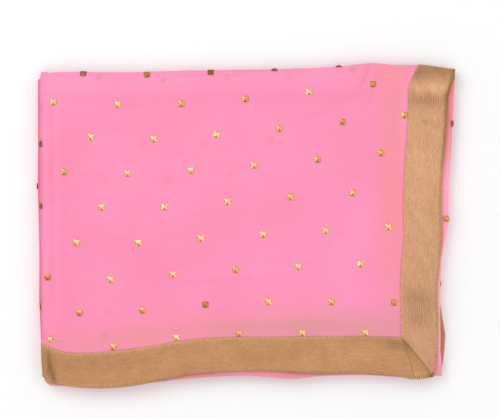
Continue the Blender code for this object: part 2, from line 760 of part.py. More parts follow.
def main():
    for existing in list(bpy.data.objects):
        bpy.data.objects.remove(existing, do_unlink=True)
    nodes = plan_nodes()
    held = seat_studs(nodes, stud_places())
    sheet = panel_sheet(nodes)
    make_top_panel(sheet, held, cloth_material("sheer_cloth", (0.93, 0.29, 0.46), 0.75))
    make_end_border(sheet, cloth_material("end_ribbon", (0.62, 0.34, 0.18), 0.5, 0.2))
    make_side_border(sheet, cloth_material("side_ribbon", (0.55, 0.28, 0.13), 0.5, 0.2))
    make_corner_tuck(sheet, cloth_material("tuck_ribbon", (0.52, 0.28, 0.12), 0.5, 0.2))
    make_folded_layers(sheet, cloth_material("inner_cloth", (0.84, 0.22, 0.31), 0.8))
    make_lower_end_border(cloth_material("lower_ribbon", (0.40, 0.19, 0.08), 0.6, 0.1))


main()
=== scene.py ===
# The look of a dupatta stole that is folded into a flat stack and laid down: sheer pink cloth with
# pyramid studs, a gold ribbon along two edges and the folded layers beneath.
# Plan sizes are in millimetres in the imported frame, with +X to the cloth's end and +Y to the back
# fold, and each mesh is turned into metres when it is made.

import math

import bmesh
import bpy
import numpy as np
from mathutils import Matrix, Vector


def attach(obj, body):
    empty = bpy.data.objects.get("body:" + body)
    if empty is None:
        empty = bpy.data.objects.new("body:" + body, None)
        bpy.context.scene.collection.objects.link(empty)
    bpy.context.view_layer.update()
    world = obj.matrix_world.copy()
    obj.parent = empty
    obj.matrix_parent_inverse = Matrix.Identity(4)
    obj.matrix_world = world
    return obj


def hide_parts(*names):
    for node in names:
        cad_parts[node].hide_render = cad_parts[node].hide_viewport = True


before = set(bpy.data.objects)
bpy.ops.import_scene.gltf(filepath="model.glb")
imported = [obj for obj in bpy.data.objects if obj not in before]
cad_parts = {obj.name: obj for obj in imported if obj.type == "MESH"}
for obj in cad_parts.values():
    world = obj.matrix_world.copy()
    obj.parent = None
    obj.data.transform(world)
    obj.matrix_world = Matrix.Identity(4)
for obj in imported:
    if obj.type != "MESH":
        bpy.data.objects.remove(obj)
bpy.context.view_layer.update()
mm = 0.001
scene = bpy.context.scene
print("frame loaded")


def table(names, *rows):
    # One array for each named column
    return {name: np.array([row[k] for row in rows], float) for k, name in enumerate(names.split())}


# Sizes of the stack, shared by every piece that lies on it
stack = {
    "centreX": 0.65,  # moves the tables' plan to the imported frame's centre
    "heightLeft": 18.0,
    "heightRight": 16.6,
    "waveHeight": 0.35,
    "waveX": 23.0,
    "waveY": 31.0,
    "edgeDip": 1.1,
    "edgeDipWidth": 13.0,
    "backRoll": 31.0,  # how far the back fold's roll reaches in
    "backDrop": 6.5,
    "leftRoll": 14.0,
    "leftDrop": 4.5,
    "rollPower": 2.2,
    "noseInset": 2.2,  # the quarter round below a fold's nose
    "noseDown": 2.0,
}

frontEdge = table(
    "x outer inner fold",
    (-206, -150.0, -118.0, -152.0),
    (-197, -156.0, -121.5, -159.2),
    (-189, -158.5, -124.5, -159.8),
    (-180, -160.4, -126.6, -159.3),
    (-163, -162.2, -127.5, -160.0),
    (-137, -162.5, -125.5, -160.8),
    (-109, -159.5, -122.5, -158.0),
    (-85, -154.5, -118.5, -155.4),
    (-61, -150.0, -114.5, -152.8),
    (-37, -147.5, -112.5, -150.8),
    (-7, -145.5, -111.5, -149.4),
    (22, -145.6, -111.4, -150.9),
    (45, -147.4, -111.0, -152.6),
    (73, -148.5, -110.6, -150.0),
    (113, -147.8, -110.5, -148.8),
    (147, -150.5, -111.3, -150.6),
    (167, -153.5, -111.5, -152.0),
    (187, -151.5, -111.5, -150.6),
    (200, -150.0, -111.5, -150.6),
)
rightEdge = table(
    "y inner outer fold",
    (-152.5, 154.0, 185.8, 195.6),
    (-136.5, 154.0, 189.0, 194.9),
    (-124.5, 154.0, 190.3, 193.8),
    (-111.5, 154.0, 191.0, 194.0),
    (-94.5, 154.0, 191.4, 194.6),
    (-64.5, 153.0, 190.2, 193.0),
    (-38.5, 154.0, 192.5, 195.0),
    (-14.5, 156.5, 195.0, 198.0),
    (2.5, 156.3, 194.8, 201.6),
    (17.5, 156.0, 194.2, 201.5),
    (49.5, 157.0, 195.0, 202.3),
    (81.5, 159.0, 198.0, 205.0),
    (105.5, 161.0, 200.0, 206.3),
    (128.5, 161.0, 201.0, 207.2),
    (137.5, 162.0, 203.4, 208.0),
    (145.5, 164.5, 206.4, 208.4),
    (153.5, 168.0, 208.2, 208.6),
    (163.0, 172.6, 210.2, 209.2),
)
backEdge = table(
    "x edge",
    (-207, 154.6),
    (-200, 152.9),
    (-188, 153.7),
    (-120, 153.6),
    (-90, 154.5),
    (-40, 155.5),
    (60, 157.5),
    (90, 159.5),
    (125, 162.8),
    (146, 161.2),
    (172, 160.9),
    (190, 158.7),
    (209, 156.2),
)
leftEdge = table(
    "y nose under",
    (-156.0, -203.8, -203.9),
    (-130.0, -205.2, -205.7),
    (-104.0, -205.8, -207.3),
    (-44.0, -206.4, -208.6),
    (28.0, -207.2, -209.4),
    (100.0, -207.6, -210.0),
    (146.8, -207.2, -209.8),
    (149.2, -207.2, -207.0),
    (157.0, -206.0, -206.2),
)
floorRibbon = table(
    "y outer",
    (-150.5, 195.2),
    (-136.5, 197.2),
    (-124.5, 198.6),
    (-104.5, 199.6),
    (-89.5, 199.6),
    (-82.5, 198.0),
    (-75.0, 193.6),
    (-50.0, 190.5),
    (0.0, 194.0),
    (60.0, 197.0),
    (116.0, 200.0),
)

# Soft folds and creases of the top, each a ridge or a trough between two places
creases = table(
    "x1 y1 x2 y2 halfWidth height",
    (-204, 121, 150, 129, 8.0, 0.5),
    (-199, -118, -191, -160, 6.0, -1.3),
    (124, 162, 119, 130, 8.0, 1.1),
    (158, 134, 204, 136, 8.0, 0.6),
    (-188, 110, -184, -100, 7.0, 0.45),
    (119, 150, 96, 112, 4.0, -0.35),
    (127, 155, 131, 118, 3.5, 0.3),
    (112, 158, 60, 140, 6.0, 0.22),
    (-200, 128, -201, -70, 2.6, 0.32),
    (-194, 96, -193, 12, 2.2, -0.2),
    (-201, 132, -120, 136, 3.0, 0.16),
    (-60, 143, 40, 147, 3.5, 0.14),
    (-150, 64, -40, 58, 4.5, 0.16),
    (-70, -55, 12, -50, 5.0, 0.22),
    (-20, -58, 100, -38, 4.0, -0.14),
    (30, 88, 140, 96, 4.0, 0.15),
    (-196, -20, -90, -31, 5.0, -0.15),
    (-190, -92, -60, -100, 4.5, 0.16),
    (10, -92, 148, -98, 5.0, 0.2),
    (146, -90, 148, 60, 3.5, 0.22),
    (138, 110, 136, -30, 3.0, -0.13),
    (-120, 20, 20, 30, 6.0, -0.12),
    (60, 10, 130, 22, 5.0, 0.16),
)


def valueAt(rows, column, at):
    # A table's column at places along its first column, on a smooth curve
    places, values = rows[next(iter(rows))], rows[column]
    at = np.clip(np.asarray(at, float), places[0], places[-1])
    k = np.clip(np.searchsorted(places, at, side="right") - 1, 0, len(places) - 2)
    slopes = np.gradient(values)
    slopes[0], slopes[-1] = values[1] - values[0], values[-1] - values[-2]
    gaps = np.diff(places)
    slopes = slopes / np.concatenate([gaps[:1], (gaps[1:] + gaps[:-1]) / 2, gaps[-1:]])
    step = places[k + 1] - places[k]
    t = (at - places[k]) / step
    start, end = values[k] * (2 * t**3 - 3 * t**2 + 1), values[k + 1] * (3 * t**2 - 2 * t**3)
    return start + end + step * ((t**3 - 2 * t**2 + t) * slopes[k] + (t**3 - t**2) * slopes[k + 1])


def smoothStep(t):
    t = np.clip(t, 0.0, 1.0)
    return t * t * (3 - 2 * t)


def roll(share):
    # Height share of a rolled fold, 0 at its nose and 1 where the cloth lies flat
    share = np.clip(share, 0.0, 1.0)
    return (1 - (1 - share) ** stack["rollPower"]) ** (1 / stack["rollPower"])


def rollDistance(angle, reach):
    # Distance in from the nose at an angle of the roll, 0 at the nose and a quarter turn at its end
    return reach * (1 - np.cos(angle) ** (2 / stack["rollPower"]))


def alongLine(x1, y1, x2, y2, x, y):
    # Distance across a line between two places, and how far past its ends a point lies
    runX, runY = x2 - x1, y2 - y1
    length = math.hypot(runX, runY)
    along = ((x - x1) * runX + (y - y1) * runY) / length
    across = ((x - x1) * runY - (y - y1) * runX) / length
    return across, np.maximum(np.maximum(-along, along - length), 0.0)


def creaseHeight(x, y):
    total = np.zeros_like(x)
    for *ends, half, height in zip(*creases.values()):
        across, past = alongLine(*ends, x, y)
        total += height * smoothStep(1 - np.abs(across) / half) * smoothStep(1 - past / (2 * half))
    return total


def flatHeight(x, y):
    # The top face before the left fold rolls down
    fromLeft = x - valueAt(leftEdge, "nose", y)
    fromBack = valueAt(backEdge, "edge", x) - y
    fromRight = valueAt(rightEdge, "outer", y) - x
    fromFront = y - valueAt(frontEdge, "outer", x)
    across = smoothStep(fromLeft / (np.maximum(fromLeft, 0) + np.maximum(fromRight, 0.001)))
    height = stack["heightLeft"] + (stack["heightRight"] - stack["heightLeft"]) * across
    wave = np.sin(x / stack["waveX"] + 0.6) * np.sin(y / stack["waveY"] + 1.1)
    height = height + stack["waveHeight"] * wave + creaseHeight(x, y)
    height = height - stack["backDrop"] * (1 - roll(fromBack / stack["backRoll"]))
    for inward in (fromRight, fromFront):
        height = height - stack["edgeDip"] * smoothStep(1 - inward / stack["edgeDipWidth"])
    return height


def topHeight(x, y):
    fromLeft = x - valueAt(leftEdge, "nose", y)
    return flatHeight(x, y) - stack["leftDrop"] * (1 - roll(fromLeft / stack["leftRoll"]))


def noseRows(rollSteps, underSteps, tuckIn):
    # Rows over a fold: distance in from its nose, then the inset and the fall beneath the nose
    angles = np.linspace(math.pi / 2, 0, rollSteps)
    rows = [(rollDistance(a, 1.0), 0.0, 0.0) for a in angles]
    for b in np.linspace(0, math.pi / 2, underSteps)[1:]:
        rows.append((0.0, stack["noseInset"] * (1 - math.cos(b)), stack["noseDown"] * math.sin(b)))
    rows.append((0.0, stack["noseInset"] + tuckIn, stack["noseDown"]))
    return rows


def settle(columnX, rowY, shape):
    # The plan point where each column line crosses each row line
    x, y = np.zeros(shape), np.zeros(shape)
    for _ in range(8):
        x = columnX(y)
        y = rowY(x)
    return x, y


def gridNormals(points):
    across, along = np.gradient(points, axis=0), np.gradient(points, axis=1)
    normal = np.cross(across, along)
    length = np.linalg.norm(normal, axis=2, keepdims=True)
    return normal / np.maximum(length, 1e-9)


def gridFaces(columns, rows):
    i, j = np.meshgrid(np.arange(columns - 1), np.arange(rows - 1), indexing="ij")
    a = (i * rows + j).ravel()
    return np.stack([a, a + rows, a + rows + 1, a + 1], axis=1)


def placed(points):
    # Points of the tables' plan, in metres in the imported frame
    return (np.asarray(points, float) + (stack["centreX"], 0, 0)) * mm


def linked(name, data):
    piece = bpy.data.objects.new(name, data)
    scene.collection.objects.link(piece)
    return piece


def makeMesh(name, points, faces, material, uv=None, masks=None):
    # A mesh piece from points in millimetres, with its place on the flat cloth as UV and named masks
    mesh = bpy.data.meshes.new(name)
    mesh.from_pydata(placed(points).tolist(), [], np.asarray(faces).tolist())
    mesh.materials.append(material)
    if uv is not None:
        layer = mesh.uv_layers.new(name="flatCloth")
        corners = np.empty(len(mesh.loops), np.int32)
        mesh.loops.foreach_get("vertex_index", corners)
        layer.data.foreach_set("uv", np.asarray(uv, float)[corners].ravel())
    for title, values in (masks or {}).items():
        attribute = mesh.attributes.new(title, "FLOAT", "POINT")
        attribute.data.foreach_set("value", np.asarray(values, np.float32).ravel())
    mesh.shade_smooth()
    return linked(name, mesh)


def shellMesh(name, points, normals, low, high, material, uv, masks, kept=None):
    # A closed thin wall between two distances from a grid of points
    columns, rows = points.shape[:2]
    low, high = np.broadcast_to(low, (columns, rows)), np.broadcast_to(high, (columns, rows))
    upper = (points + normals * high[..., None]).reshape(-1, 3)
    lower = (points + normals * low[..., None]).reshape(-1, 3)
    count = columns * rows
    top = gridFaces(columns, rows)
    if kept is not None:
        top = top[kept.ravel()]
    first, after = top.ravel(), np.roll(top, -1, axis=1).ravel()
    rim = ~np.isin(first * count + after, after * count + first)
    first, after = first[rim], after[rim]
    sides = np.stack([after, first, first + count, after + count], axis=1)
    faces = np.concatenate([top, top[:, ::-1] + count, sides])
    doubled = {title: np.tile(values.ravel(), 2) for title, values in masks.items()}
    flat = np.tile(uv.reshape(-1, 2), (2, 1))
    piece = makeMesh(name, np.concatenate([upper, lower]), faces, material, flat, doubled)
    work = bmesh.new()
    work.from_mesh(piece.data)
    bmesh.ops.remove_doubles(work, verts=work.verts, dist=1e-6)
    bmesh.ops.delete(work, geom=[v for v in work.verts if not v.link_faces], context="VERTS")
    work.to_mesh(piece.data)
    work.free()
    return piece


def finishPiece(piece, slot, *nodes):
    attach(piece, "root")
    if nodes:
        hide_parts(*nodes)


def spots(rows, x, y):
    # Sum of soft spots: each row has a place, its half length along X and Y, and its strength
    total = np.zeros_like(x)
    for middleX, middleY, wide, deep, strength in zip(*rows.values()):
        total += strength * np.exp(-(((x - middleX) / wide) ** 2) - ((y - middleY) / deep) ** 2)
    return total


def bands(rows, x, y):
    # Sum of soft streaks, each along its own line
    total = np.zeros_like(x)
    for *ends, half, strength in zip(*rows.values()):
        across, past = alongLine(*ends, x, y)
        total += strength * np.exp(-((across / half) ** 2) - (past / (2 * half)) ** 2)
    return total


# Materials

class Paint:
    # One material's node tree, with short ways to add the nodes that the finishes share

    def __init__(self, name):
        self.material = bpy.data.materials.new(name)
        self.material.use_nodes = True
        self.nodes = self.material.node_tree.nodes
        self.shader = self.nodes["Principled BSDF"]

    def put(self, socket, value):
        # A socket takes another node's output, a colour or a plain value
        if isinstance(value, bpy.types.NodeSocket):
            self.material.node_tree.links.new(value, socket)
        else:
            socket.default_value = (*value, 1.0) if socket.type == "RGBA" else value

    def add(self, kind, inputs=None, **values):
        made = self.nodes.new(kind)
        for title, value in values.items():
            setattr(made, title, value)
        for socket, value in (inputs or {}).items():
            self.put(made.inputs[socket], value)
        return made

    def place(self):
        return self.add("ShaderNodeTexCoord").outputs["Object"]

    def mask(self, title):
        return self.add("ShaderNodeAttribute", attribute_name=title).outputs["Fac"]

    def mix(self, share, first, second):
        return self.add("ShaderNodeMix", {0: share, 6: first, 7: second}, data_type="RGBA").outputs[2]

    def maths(self, operation, first, second):
        return self.add("ShaderNodeMath", {0: first, 1: second}, operation=operation).outputs[0]

    def times(self, first, second):
        return self.maths("MULTIPLY", first, second)

    def plus(self, first, second):
        return self.maths("ADD", first, second)

    def stretched(self, source, scale, turn=0.0):
        values = {"Vector": source, "Scale": scale, "Rotation": (0.0, 0.0, turn)}
        return self.add("ShaderNodeMapping", values).outputs["Vector"]

    def noise(self, source, scale, detail=3.0, roughness=0.55):
        values = {"Vector": source, "Scale": scale, "Detail": detail, "Roughness": roughness}
        return self.add("ShaderNodeTexNoise", values).outputs["Fac"]

    def wave(self, source, pitch, distortion, detail=2.0, detailScale=1.0, roughness=0.5, way="X"):
        # Bands with a pitch in the units of the coordinates
        values = {"Vector": source, "Scale": 1 / (pitch * bandsAtOne), "Distortion": distortion,
                  "Detail": detail, "Detail Scale": detailScale, "Detail Roughness": roughness}
        return self.add("ShaderNodeTexWave", values, bands_direction=way).outputs["Fac"]

    def ranged(self, value, low, high, toLow=0.0, toHigh=1.0):
        values = {"Value": value, "From Min": low, "From Max": high, "To Min": toLow, "To Max": toHigh}
        return self.add("ShaderNodeMapRange", values).outputs["Result"]

    def toned(self, colour):
        # A colour made lighter or darker by the piece's toneAndShading mask: mostly painted light and
        # shade, with some marks of its own
        values = {"Color": colour, "Value": self.mask("toneAndShading")}
        return self.add("ShaderNodeHueSaturation", values).outputs["Color"]

    def finish(self, inputs, relief=None, strength=0.0, depth=0.0):
        # Sets the shader's inputs, and a bump with a depth in millimetres
        for socket, value in inputs.items():
            self.put(self.shader.inputs[socket], value)
        if relief is not None:
            values = {"Height": relief, "Strength": strength, "Distance": depth * mm}
            self.put(self.shader.inputs["Normal"], self.add("ShaderNodeBump", values).outputs["Normal"])
        return self.material


bandsAtOne = 3.18  # bands of a wave texture in one unit at scale 1

cloth = {
    "pink": (0.955, 0.297, 0.480),
    "lightPink": (0.973, 0.324, 0.524),
    "deepPink": (0.83, 0.15, 0.30),
    "innerPink": (0.90, 0.235, 0.38),
    "innerDeep": (0.78, 0.13, 0.25),
    "warm": (0.90, 0.30, 0.275),  # several layers over a ribbon
    "underRibbon": (0.60, 0.31, 0.245),  # a ribbon seen through one layer
    "underStud": (0.50, 0.27, 0.17),
    "pale": (0.985, 0.60, 0.66),  # a single layer over the pale floor
    "sheenTint": (1.0, 0.72, 0.84),
    "streaks": (21.739, 420, 60),  # how close they lie along X, Y and Z, for each metre
    "slubs": (70, 1500, 60),
    "crinkle": (420, 640, 400),
    "clouds": 14.0,
    "threadPitch": 0.55,  # mm between the threads that show
    "bump": 0.35,
    "bumpDepth": 0.25,
}


def clothMaterial(name, base, depth):
    # Sheer crepe: fine streaks along the weft, crinkle, and what lies beneath shining through
    paint = Paint(name)
    place = paint.place()
    streaks = paint.noise(paint.stretched(place, cloth["streaks"]), 1.0, 4.0, 0.6)
    slubs = paint.noise(paint.stretched(place, cloth["slubs"]), 1.0, 3.0, 0.6)
    crinkle = paint.noise(paint.stretched(place, cloth["crinkle"]), 1.0, 3.0, 0.6)
    clouds = paint.ranged(paint.noise(place, cloth["clouds"]), 0.35, 0.68)
    fine = paint.plus(paint.ranged(streaks, 0.3, 0.75, 0.0, 0.5), paint.ranged(slubs, 0.3, 0.8, 0.0, 0.5))
    colour = paint.mix(clouds, base, cloth["lightPink"])
    colour = paint.mix(paint.ranged(fine, 0.25, 0.85, 0.18, 0.0), colour, depth)
    colour = paint.mix(paint.mask("deep"), colour, depth)
    for title in ("warm", "underRibbon", "underStud", "pale"):
        colour = paint.mix(paint.mask(title), colour, cloth[title])
    weft, warp = (paint.wave(place, cloth["threadPitch"] * mm, 1.2, 1.0, 0.6, way=way) for way in "YX")
    relief = paint.plus(paint.times(paint.times(weft, warp), 0.25), paint.plus(streaks, crinkle))
    look = {"Base Color": paint.toned(colour), "Roughness": 0.82, "Specular IOR Level": 0.22,
            "Sheen Weight": 0.18, "Sheen Roughness": 0.45, "Sheen Tint": cloth["sheenTint"]}
    return paint.finish(look, relief, cloth["bump"], cloth["bumpDepth"])


ribbon = {
    "width": 35.0,
    "endTan": (0.77, 0.402, 0.222),
    "endLight": (0.88, 0.50, 0.30),
    "endSlant": 0.3,  # radians that its streaks slant by
    # The side ribbon is the same ribbon as the end one; its darker, deeper tan is painted shade from how
    # its sheen meets the light
    "sideTan": (0.765, 0.365, 0.157),
    "sideLight": (0.88, 0.447, 0.213),
    "sideSlant": -0.5,
    "dark": (0.36, 0.165, 0.062),
    "olive": (0.29, 0.20, 0.062),
    "darkOlive": (0.13, 0.066, 0.022),
    "selvedge": (0.40, 0.22, 0.085),
    "innerSelvedge": (0.66, 0.31, 0.16),
    "thread": (0.80, 0.51, 0.24),
    "threadShade": (0.50, 0.29, 0.12),
    "selvedgeWidth": 2.4,
    "moirePitch": 2.4,  # mm between the slanting streaks
    "warpPitch": 2.0,  # mm between the warp lines that show where the ribbon rolls
    "threadPitch": 0.7,
    "bump": 0.4,
    "bumpDepth": 0.25,
    "wall": 0.5,
    "lift": 0.28,  # clear of the cloth beneath
}


def ribbonMaterial(name, slant, tan, lightTan):
    # Woven ribbon: UV X runs across it and UV Y along it, in units of 100 mm
    paint = Paint(name)
    place = paint.add("ShaderNodeUVMap", uv_map="flatCloth").outputs["UV"]
    across = paint.add("ShaderNodeSeparateXYZ", {0: place}).outputs["X"]
    fromEdge = paint.maths("MINIMUM", across, paint.maths("SUBTRACT", ribbon["width"] / 100, across))
    edge = ribbon["selvedgeWidth"] / 100
    turned = paint.stretched(place, (1.0, 1.0, 1.0), slant)
    moire = paint.wave(turned, ribbon["moirePitch"] / 100, 9.0, 3.5, 0.7, 0.62)
    warpPlace = paint.stretched(place, (1.0, 0.35, 1.0), 0.3 * slant)
    warp = paint.wave(warpPlace, ribbon["warpPitch"] / 100, 2.6, 3.0, 1.4, 0.6)
    twill = paint.wave(turned, ribbon["threadPitch"] / 100, 0.6)
    grain = paint.noise(paint.stretched(turned, (52, 9, 1)), 1.0, 5.0, 0.68)
    threads = paint.noise(paint.stretched(place, (95, 6, 1), 0.25 * slant), 1.0, 3.0, 0.6)
    fine = paint.noise(paint.stretched(turned, (78, 40, 1)), 1.0, 2.0, 0.6)
    clouds, worn = paint.noise(place, 4.2), paint.noise(place, 9.0, 4.0)
    colour = paint.mix(paint.ranged(clouds, 0.32, 0.7), tan, lightTan)
    for share in (
        paint.times(paint.ranged(moire, 0.1, 0.95, 0.3, 1.0), paint.ranged(grain, 0.3, 0.68, 0.02, 0.3)),
        paint.times(paint.ranged(threads, 0.35, 0.72, 0.5, 0.0), paint.ranged(worn, 0.3, 0.72, 0.35, 1.0)),
        paint.ranged(fine, 0.34, 0.7, 0.3, 0.0),
        paint.times(paint.ranged(warp, 0.25, 0.8, 1.0, 0.0), paint.mask("lines")),
    ):
        colour = paint.mix(share, colour, ribbon["dark"])
    colour = paint.mix(paint.mask("olive"), colour, ribbon["olive"])
    edgeColour = paint.mix(paint.ranged(threads, 0.35, 0.7), ribbon["dark"], ribbon["selvedge"])
    edgeColour = paint.mix(paint.ranged(across, 0.12, 0.06, 0.0, 0.85), edgeColour, ribbon["innerSelvedge"])
    colour = paint.mix(paint.ranged(fromEdge, edge + 0.003, edge - 0.003, 0.0, 0.75), colour, edgeColour)
    cord = paint.ranged(fromEdge, edge, edge - 0.006, 0.0, 0.6)
    relief = paint.plus(paint.times(twill, 0.35), paint.plus(paint.times(moire, 0.4), cord))
    look = {"Base Color": paint.toned(colour), "Roughness": paint.ranged(grain, 0.3, 0.7, 0.42, 0.6),
            "Metallic": 0.22, "Specular IOR Level": 0.35, "Sheen Weight": 0.12, "Sheen Roughness": 0.4}
    return paint.finish(look, relief, ribbon["bump"], ribbon["bumpDepth"])


gold = {
    # The bright colour is a painted highlight on faces turned to the light, the dull one painted shade as
    # well as tarnish
    "bright": (1.0, 0.72, 0.40),
    "plain": (0.86, 0.43, 0.13),
    "dull": (0.21, 0.072, 0.026),
    "bump": 0.2,
    "bumpDepth": 0.1,
}


def goldMaterial(name):
    # Polished on the faces and ridges and dull in the corners and on tarnished studs; the faces that look
    # forward and the studs that lean away from the light get painted shade, the faces turned to the back a
    # painted highlight
    paint = Paint(name)
    marks = paint.noise(paint.place(), 420.0)
    polishAndShade = paint.times(paint.mask("polishAndShade"), paint.maths("SUBTRACT", 1.0, paint.mask("dull")))
    polishAndShade = paint.times(polishAndShade, paint.ranged(marks, 0.3, 0.7, 0.75, 1.15))
    tint = paint.mix(paint.ranged(polishAndShade, 0.0, 0.5), gold["dull"], gold["plain"])
    tint = paint.mix(paint.ranged(polishAndShade, 0.55, 0.95), tint, gold["bright"])
    look = {"Base Color": tint, "Roughness": paint.ranged(marks, 0.3, 0.7, 0.2, 0.38), "Metallic": 1.0}
    return paint.finish(look, marks, gold["bump"], gold["bumpDepth"])


def threadMaterial(name):
    paint = Paint(name)
    fibres = paint.noise(paint.place(), 330.0, 4.0, 0.7)
    tint = paint.mix(paint.ranged(fibres, 0.32, 0.66), ribbon["threadShade"], ribbon["thread"])
    tint = paint.mix(paint.mask("olive"), tint, ribbon["darkOlive"])
    return paint.finish({"Base Color": tint, "Roughness": 0.6, "Sheen Weight": 0.2})


pinkCloth = clothMaterial("sheerCloth", cloth["pink"], cloth["deepPink"])
innerCloth = clothMaterial("innerCloth", cloth["innerPink"], cloth["innerDeep"])
endWeave = ribbonMaterial("endRibbonWeave", ribbon["endSlant"], ribbon["endTan"], ribbon["endLight"])
sideWeave = ribbonMaterial("sideRibbonWeave", ribbon["sideSlant"], ribbon["sideTan"], ribbon["sideLight"])
studGold = goldMaterial("studGold")
threadGold = threadMaterial("ribbonThread")
print("materials made")

# The top layer of cloth

topCloth = {
    "columns": 285,
    "rows": 215,
    "noseSteps": (16, 7, 4.0),  # lines of a roll and of the turn beneath it, and mm tucked in
    "foldShade": 0.55,  # deeper pink along the left fold
    "foldShadeWidth": 1.8,
    "frontShade": 0.05,
    "frontShadeWidth": 14.0,
}

# Under-layers that show through, and painted light and shade on the top cloth
shownStuds = table(
    "x y wide deep strength",
    (-148, 147.5, 3.2, 3.0, 0.59),
    (-84, 144.5, 3.2, 3.0, 0.56),
    (-20, 147.5, 3.0, 2.6, 0.46),
    (43, 148.5, 3.0, 2.6, 0.43),
    (105, 155.5, 3.4, 2.8, 0.53),
    (-104, 80.5, 3.6, 3.4, 0.17),
    (-42, 80.5, 3.6, 3.4, 0.20),
    (23, 85.5, 3.6, 3.4, 0.20),
    (-143, 48.5, 3.6, 3.4, 0.17),
    (-78, 45.5, 3.6, 3.4, 0.17),
    (-17, 50.5, 3.6, 3.4, 0.17),
    (-181, 13.5, 3.6, 3.4, 0.14),
    (-142, -109.5, 4.0, 3.8, 0.27),
    (-187, -117.5, 3.6, 3.4, 0.24),
    (-137, -86.0, 3.6, 3.4, 0.20),
    (17, -70.0, 3.6, 3.4, 0.14),
    (80, -20.0, 3.6, 3.4, 0.14),
)
shownRibbon = table(
    "x1 y1 x2 y2 halfWidth strength",
    (-30, -103, 60, -101, 9.0, 0.35),
    (108, -108, 153, -108, 4.0, 0.16),
    (60, -102, 150, -100, 10.0, 0.37),
    (90, -90, 150, -88, 9.0, 0.13),
    (-160, -116, -70, -106, 9.0, 0.17),
    (147, 122, 146, 90, 4.0, 0.10),
)
shownWarm = table(
    "x1 y1 x2 y2 halfWidth strength",
    (146, 140, 146, 24, 13.0, 0.55),
    (146, 10, 146, -60, 13.0, 0.36),
    (-195, -115, -110, -113, 12.0, 0.30),
    (-90, -106, 60, -94, 16.0, 0.36),
    (-200, -62, -120, -66, 14.0, 0.07),
    (110, -100, 150, -98, 11.0, 0.22),
    (120, 150, 170, 152, 12.0, 0.16),
    (134, 60, 132, -40, 8.0, 0.10),
)
# Where more layers of pink lie beneath, or the cloth is drawn tight
shownDeep = table(
    "x1 y1 x2 y2 halfWidth strength",
    (-190, 112, -140, 108, 24.0, 0.07),
    (-182, 20, -178, -40, 30.0, 0.13),
    (-150, -28, -120, -36, 22.0, 0.07),
    (123.5, 161, 116, 143, 1.7, 0.30),
    (124, 150, 130, 60, 14.0, 0.03),
)
# Painted light and shade of the top cloth: lighter on ridges and on the back fold's roll, darker in troughs
# and along the left fold's nose
clothCreaseShading = table(
    "x1 y1 x2 y2 halfWidth strength",
    (-200, 142, 100, 147, 9.0, 0.045),
    (-200, 152.5, 60, 155.5, 2.4, -0.05),
    (-200, 125, 120, 131, 5.0, -0.035),
    (-201, 130, -201, -100, 1.6, 0.05),
    (-195, 120, -195, -60, 2.2, -0.045),
    (-190, 120, -189, -90, 2.0, 0.035),
    (-206, 120, -205, -110, 1.6, -0.08),
    (126, 158, 121, 132, 1.8, 0.05),
    (119, 157, 112, 136, 2.6, -0.045),
    (105, 130, 60, 108, 6.0, -0.02),
    (-70, -50, 10, -46, 3.0, 0.03),
    (-66, -57, 4, -53, 3.0, -0.02),
    (158, 140, 154, 60, 2.4, 0.04),
)


def clothMasks(x, y):
    # What shows through the sheer cloth, and painted light and shade along its creases and rolls
    fromFold = (x - valueAt(leftEdge, "nose", y)) / topCloth["foldShadeWidth"]
    deepLeft = topCloth["foldShade"] * np.exp(-(fromFold ** 2))
    nearFront = y < valueAt(frontEdge, "inner", x) + topCloth["frontShadeWidth"]
    deepFront = topCloth["frontShade"] * nearFront
    return {
        "underRibbon": np.clip(bands(shownRibbon, x, y), 0, 0.5),
        "warm": np.clip(bands(shownWarm, x, y), 0, 0.6),
        "underStud": np.clip(spots(shownStuds, x, y), 0, 0.7),
        "toneAndShading": 1 + bands(clothCreaseShading, x, y),
        "deep": np.clip(deepLeft + deepFront + bands(shownDeep, x, y), 0, 0.7),
    }


def topGrid():
    # Plan lines of the cloth: over the left fold, across the panel and over the back fold
    back = noseRows(*topCloth["noseSteps"])
    left = back[::-1]
    inner = np.linspace(0, 1, topCloth["columns"] - len(left) + 1)[1:]
    middle = np.linspace(0, 1, topCloth["rows"] - len(back) + 1)[:-1]
    # Each line is a share between the two edges, a distance from the fold, and its inset and fall
    columns = [(0.0, d * stack["leftRoll"], inset, down) for d, inset, down in left]
    columns += [(share, stack["leftRoll"] * (1 - share), 0.0, 0.0) for share in inner]
    rows = [(share, -stack["backRoll"] * share, 0.0, 0.0) for share in middle]
    rows += [(1.0, -d * stack["backRoll"], inset, down) for d, inset, down in back]
    return np.array(columns), np.array(rows)


def topPoints(columns, rows):
    c, r = columns[:, None, :], rows[None, :, :]

    def columnX(y):
        nose = valueAt(leftEdge, "nose", y)
        return nose + (valueAt(rightEdge, "outer", y) - nose) * c[..., 0] + c[..., 1]

    def rowY(x):
        front = valueAt(frontEdge, "outer", x)
        return front + (valueAt(backEdge, "edge", x) - front) * r[..., 0] + r[..., 1]

    x, y = settle(columnX, rowY, (len(columns), len(rows)))
    z = topHeight(x, y) - np.maximum(c[..., 3], r[..., 3])
    return np.stack([x + c[..., 2] + 0 * z, y - r[..., 2] + 0 * z, z], axis=2)


columns, rows = topGrid()
points = topPoints(columns, rows)
top = makeMesh("topCloth", points.reshape(-1, 3), gridFaces(*points.shape[:2]), pinkCloth,
               points[..., :2].reshape(-1, 2) / 100, clothMasks(points[..., 0], points[..., 1]))
finishPiece(top, "cloth", "top_panel")
print("top cloth made")
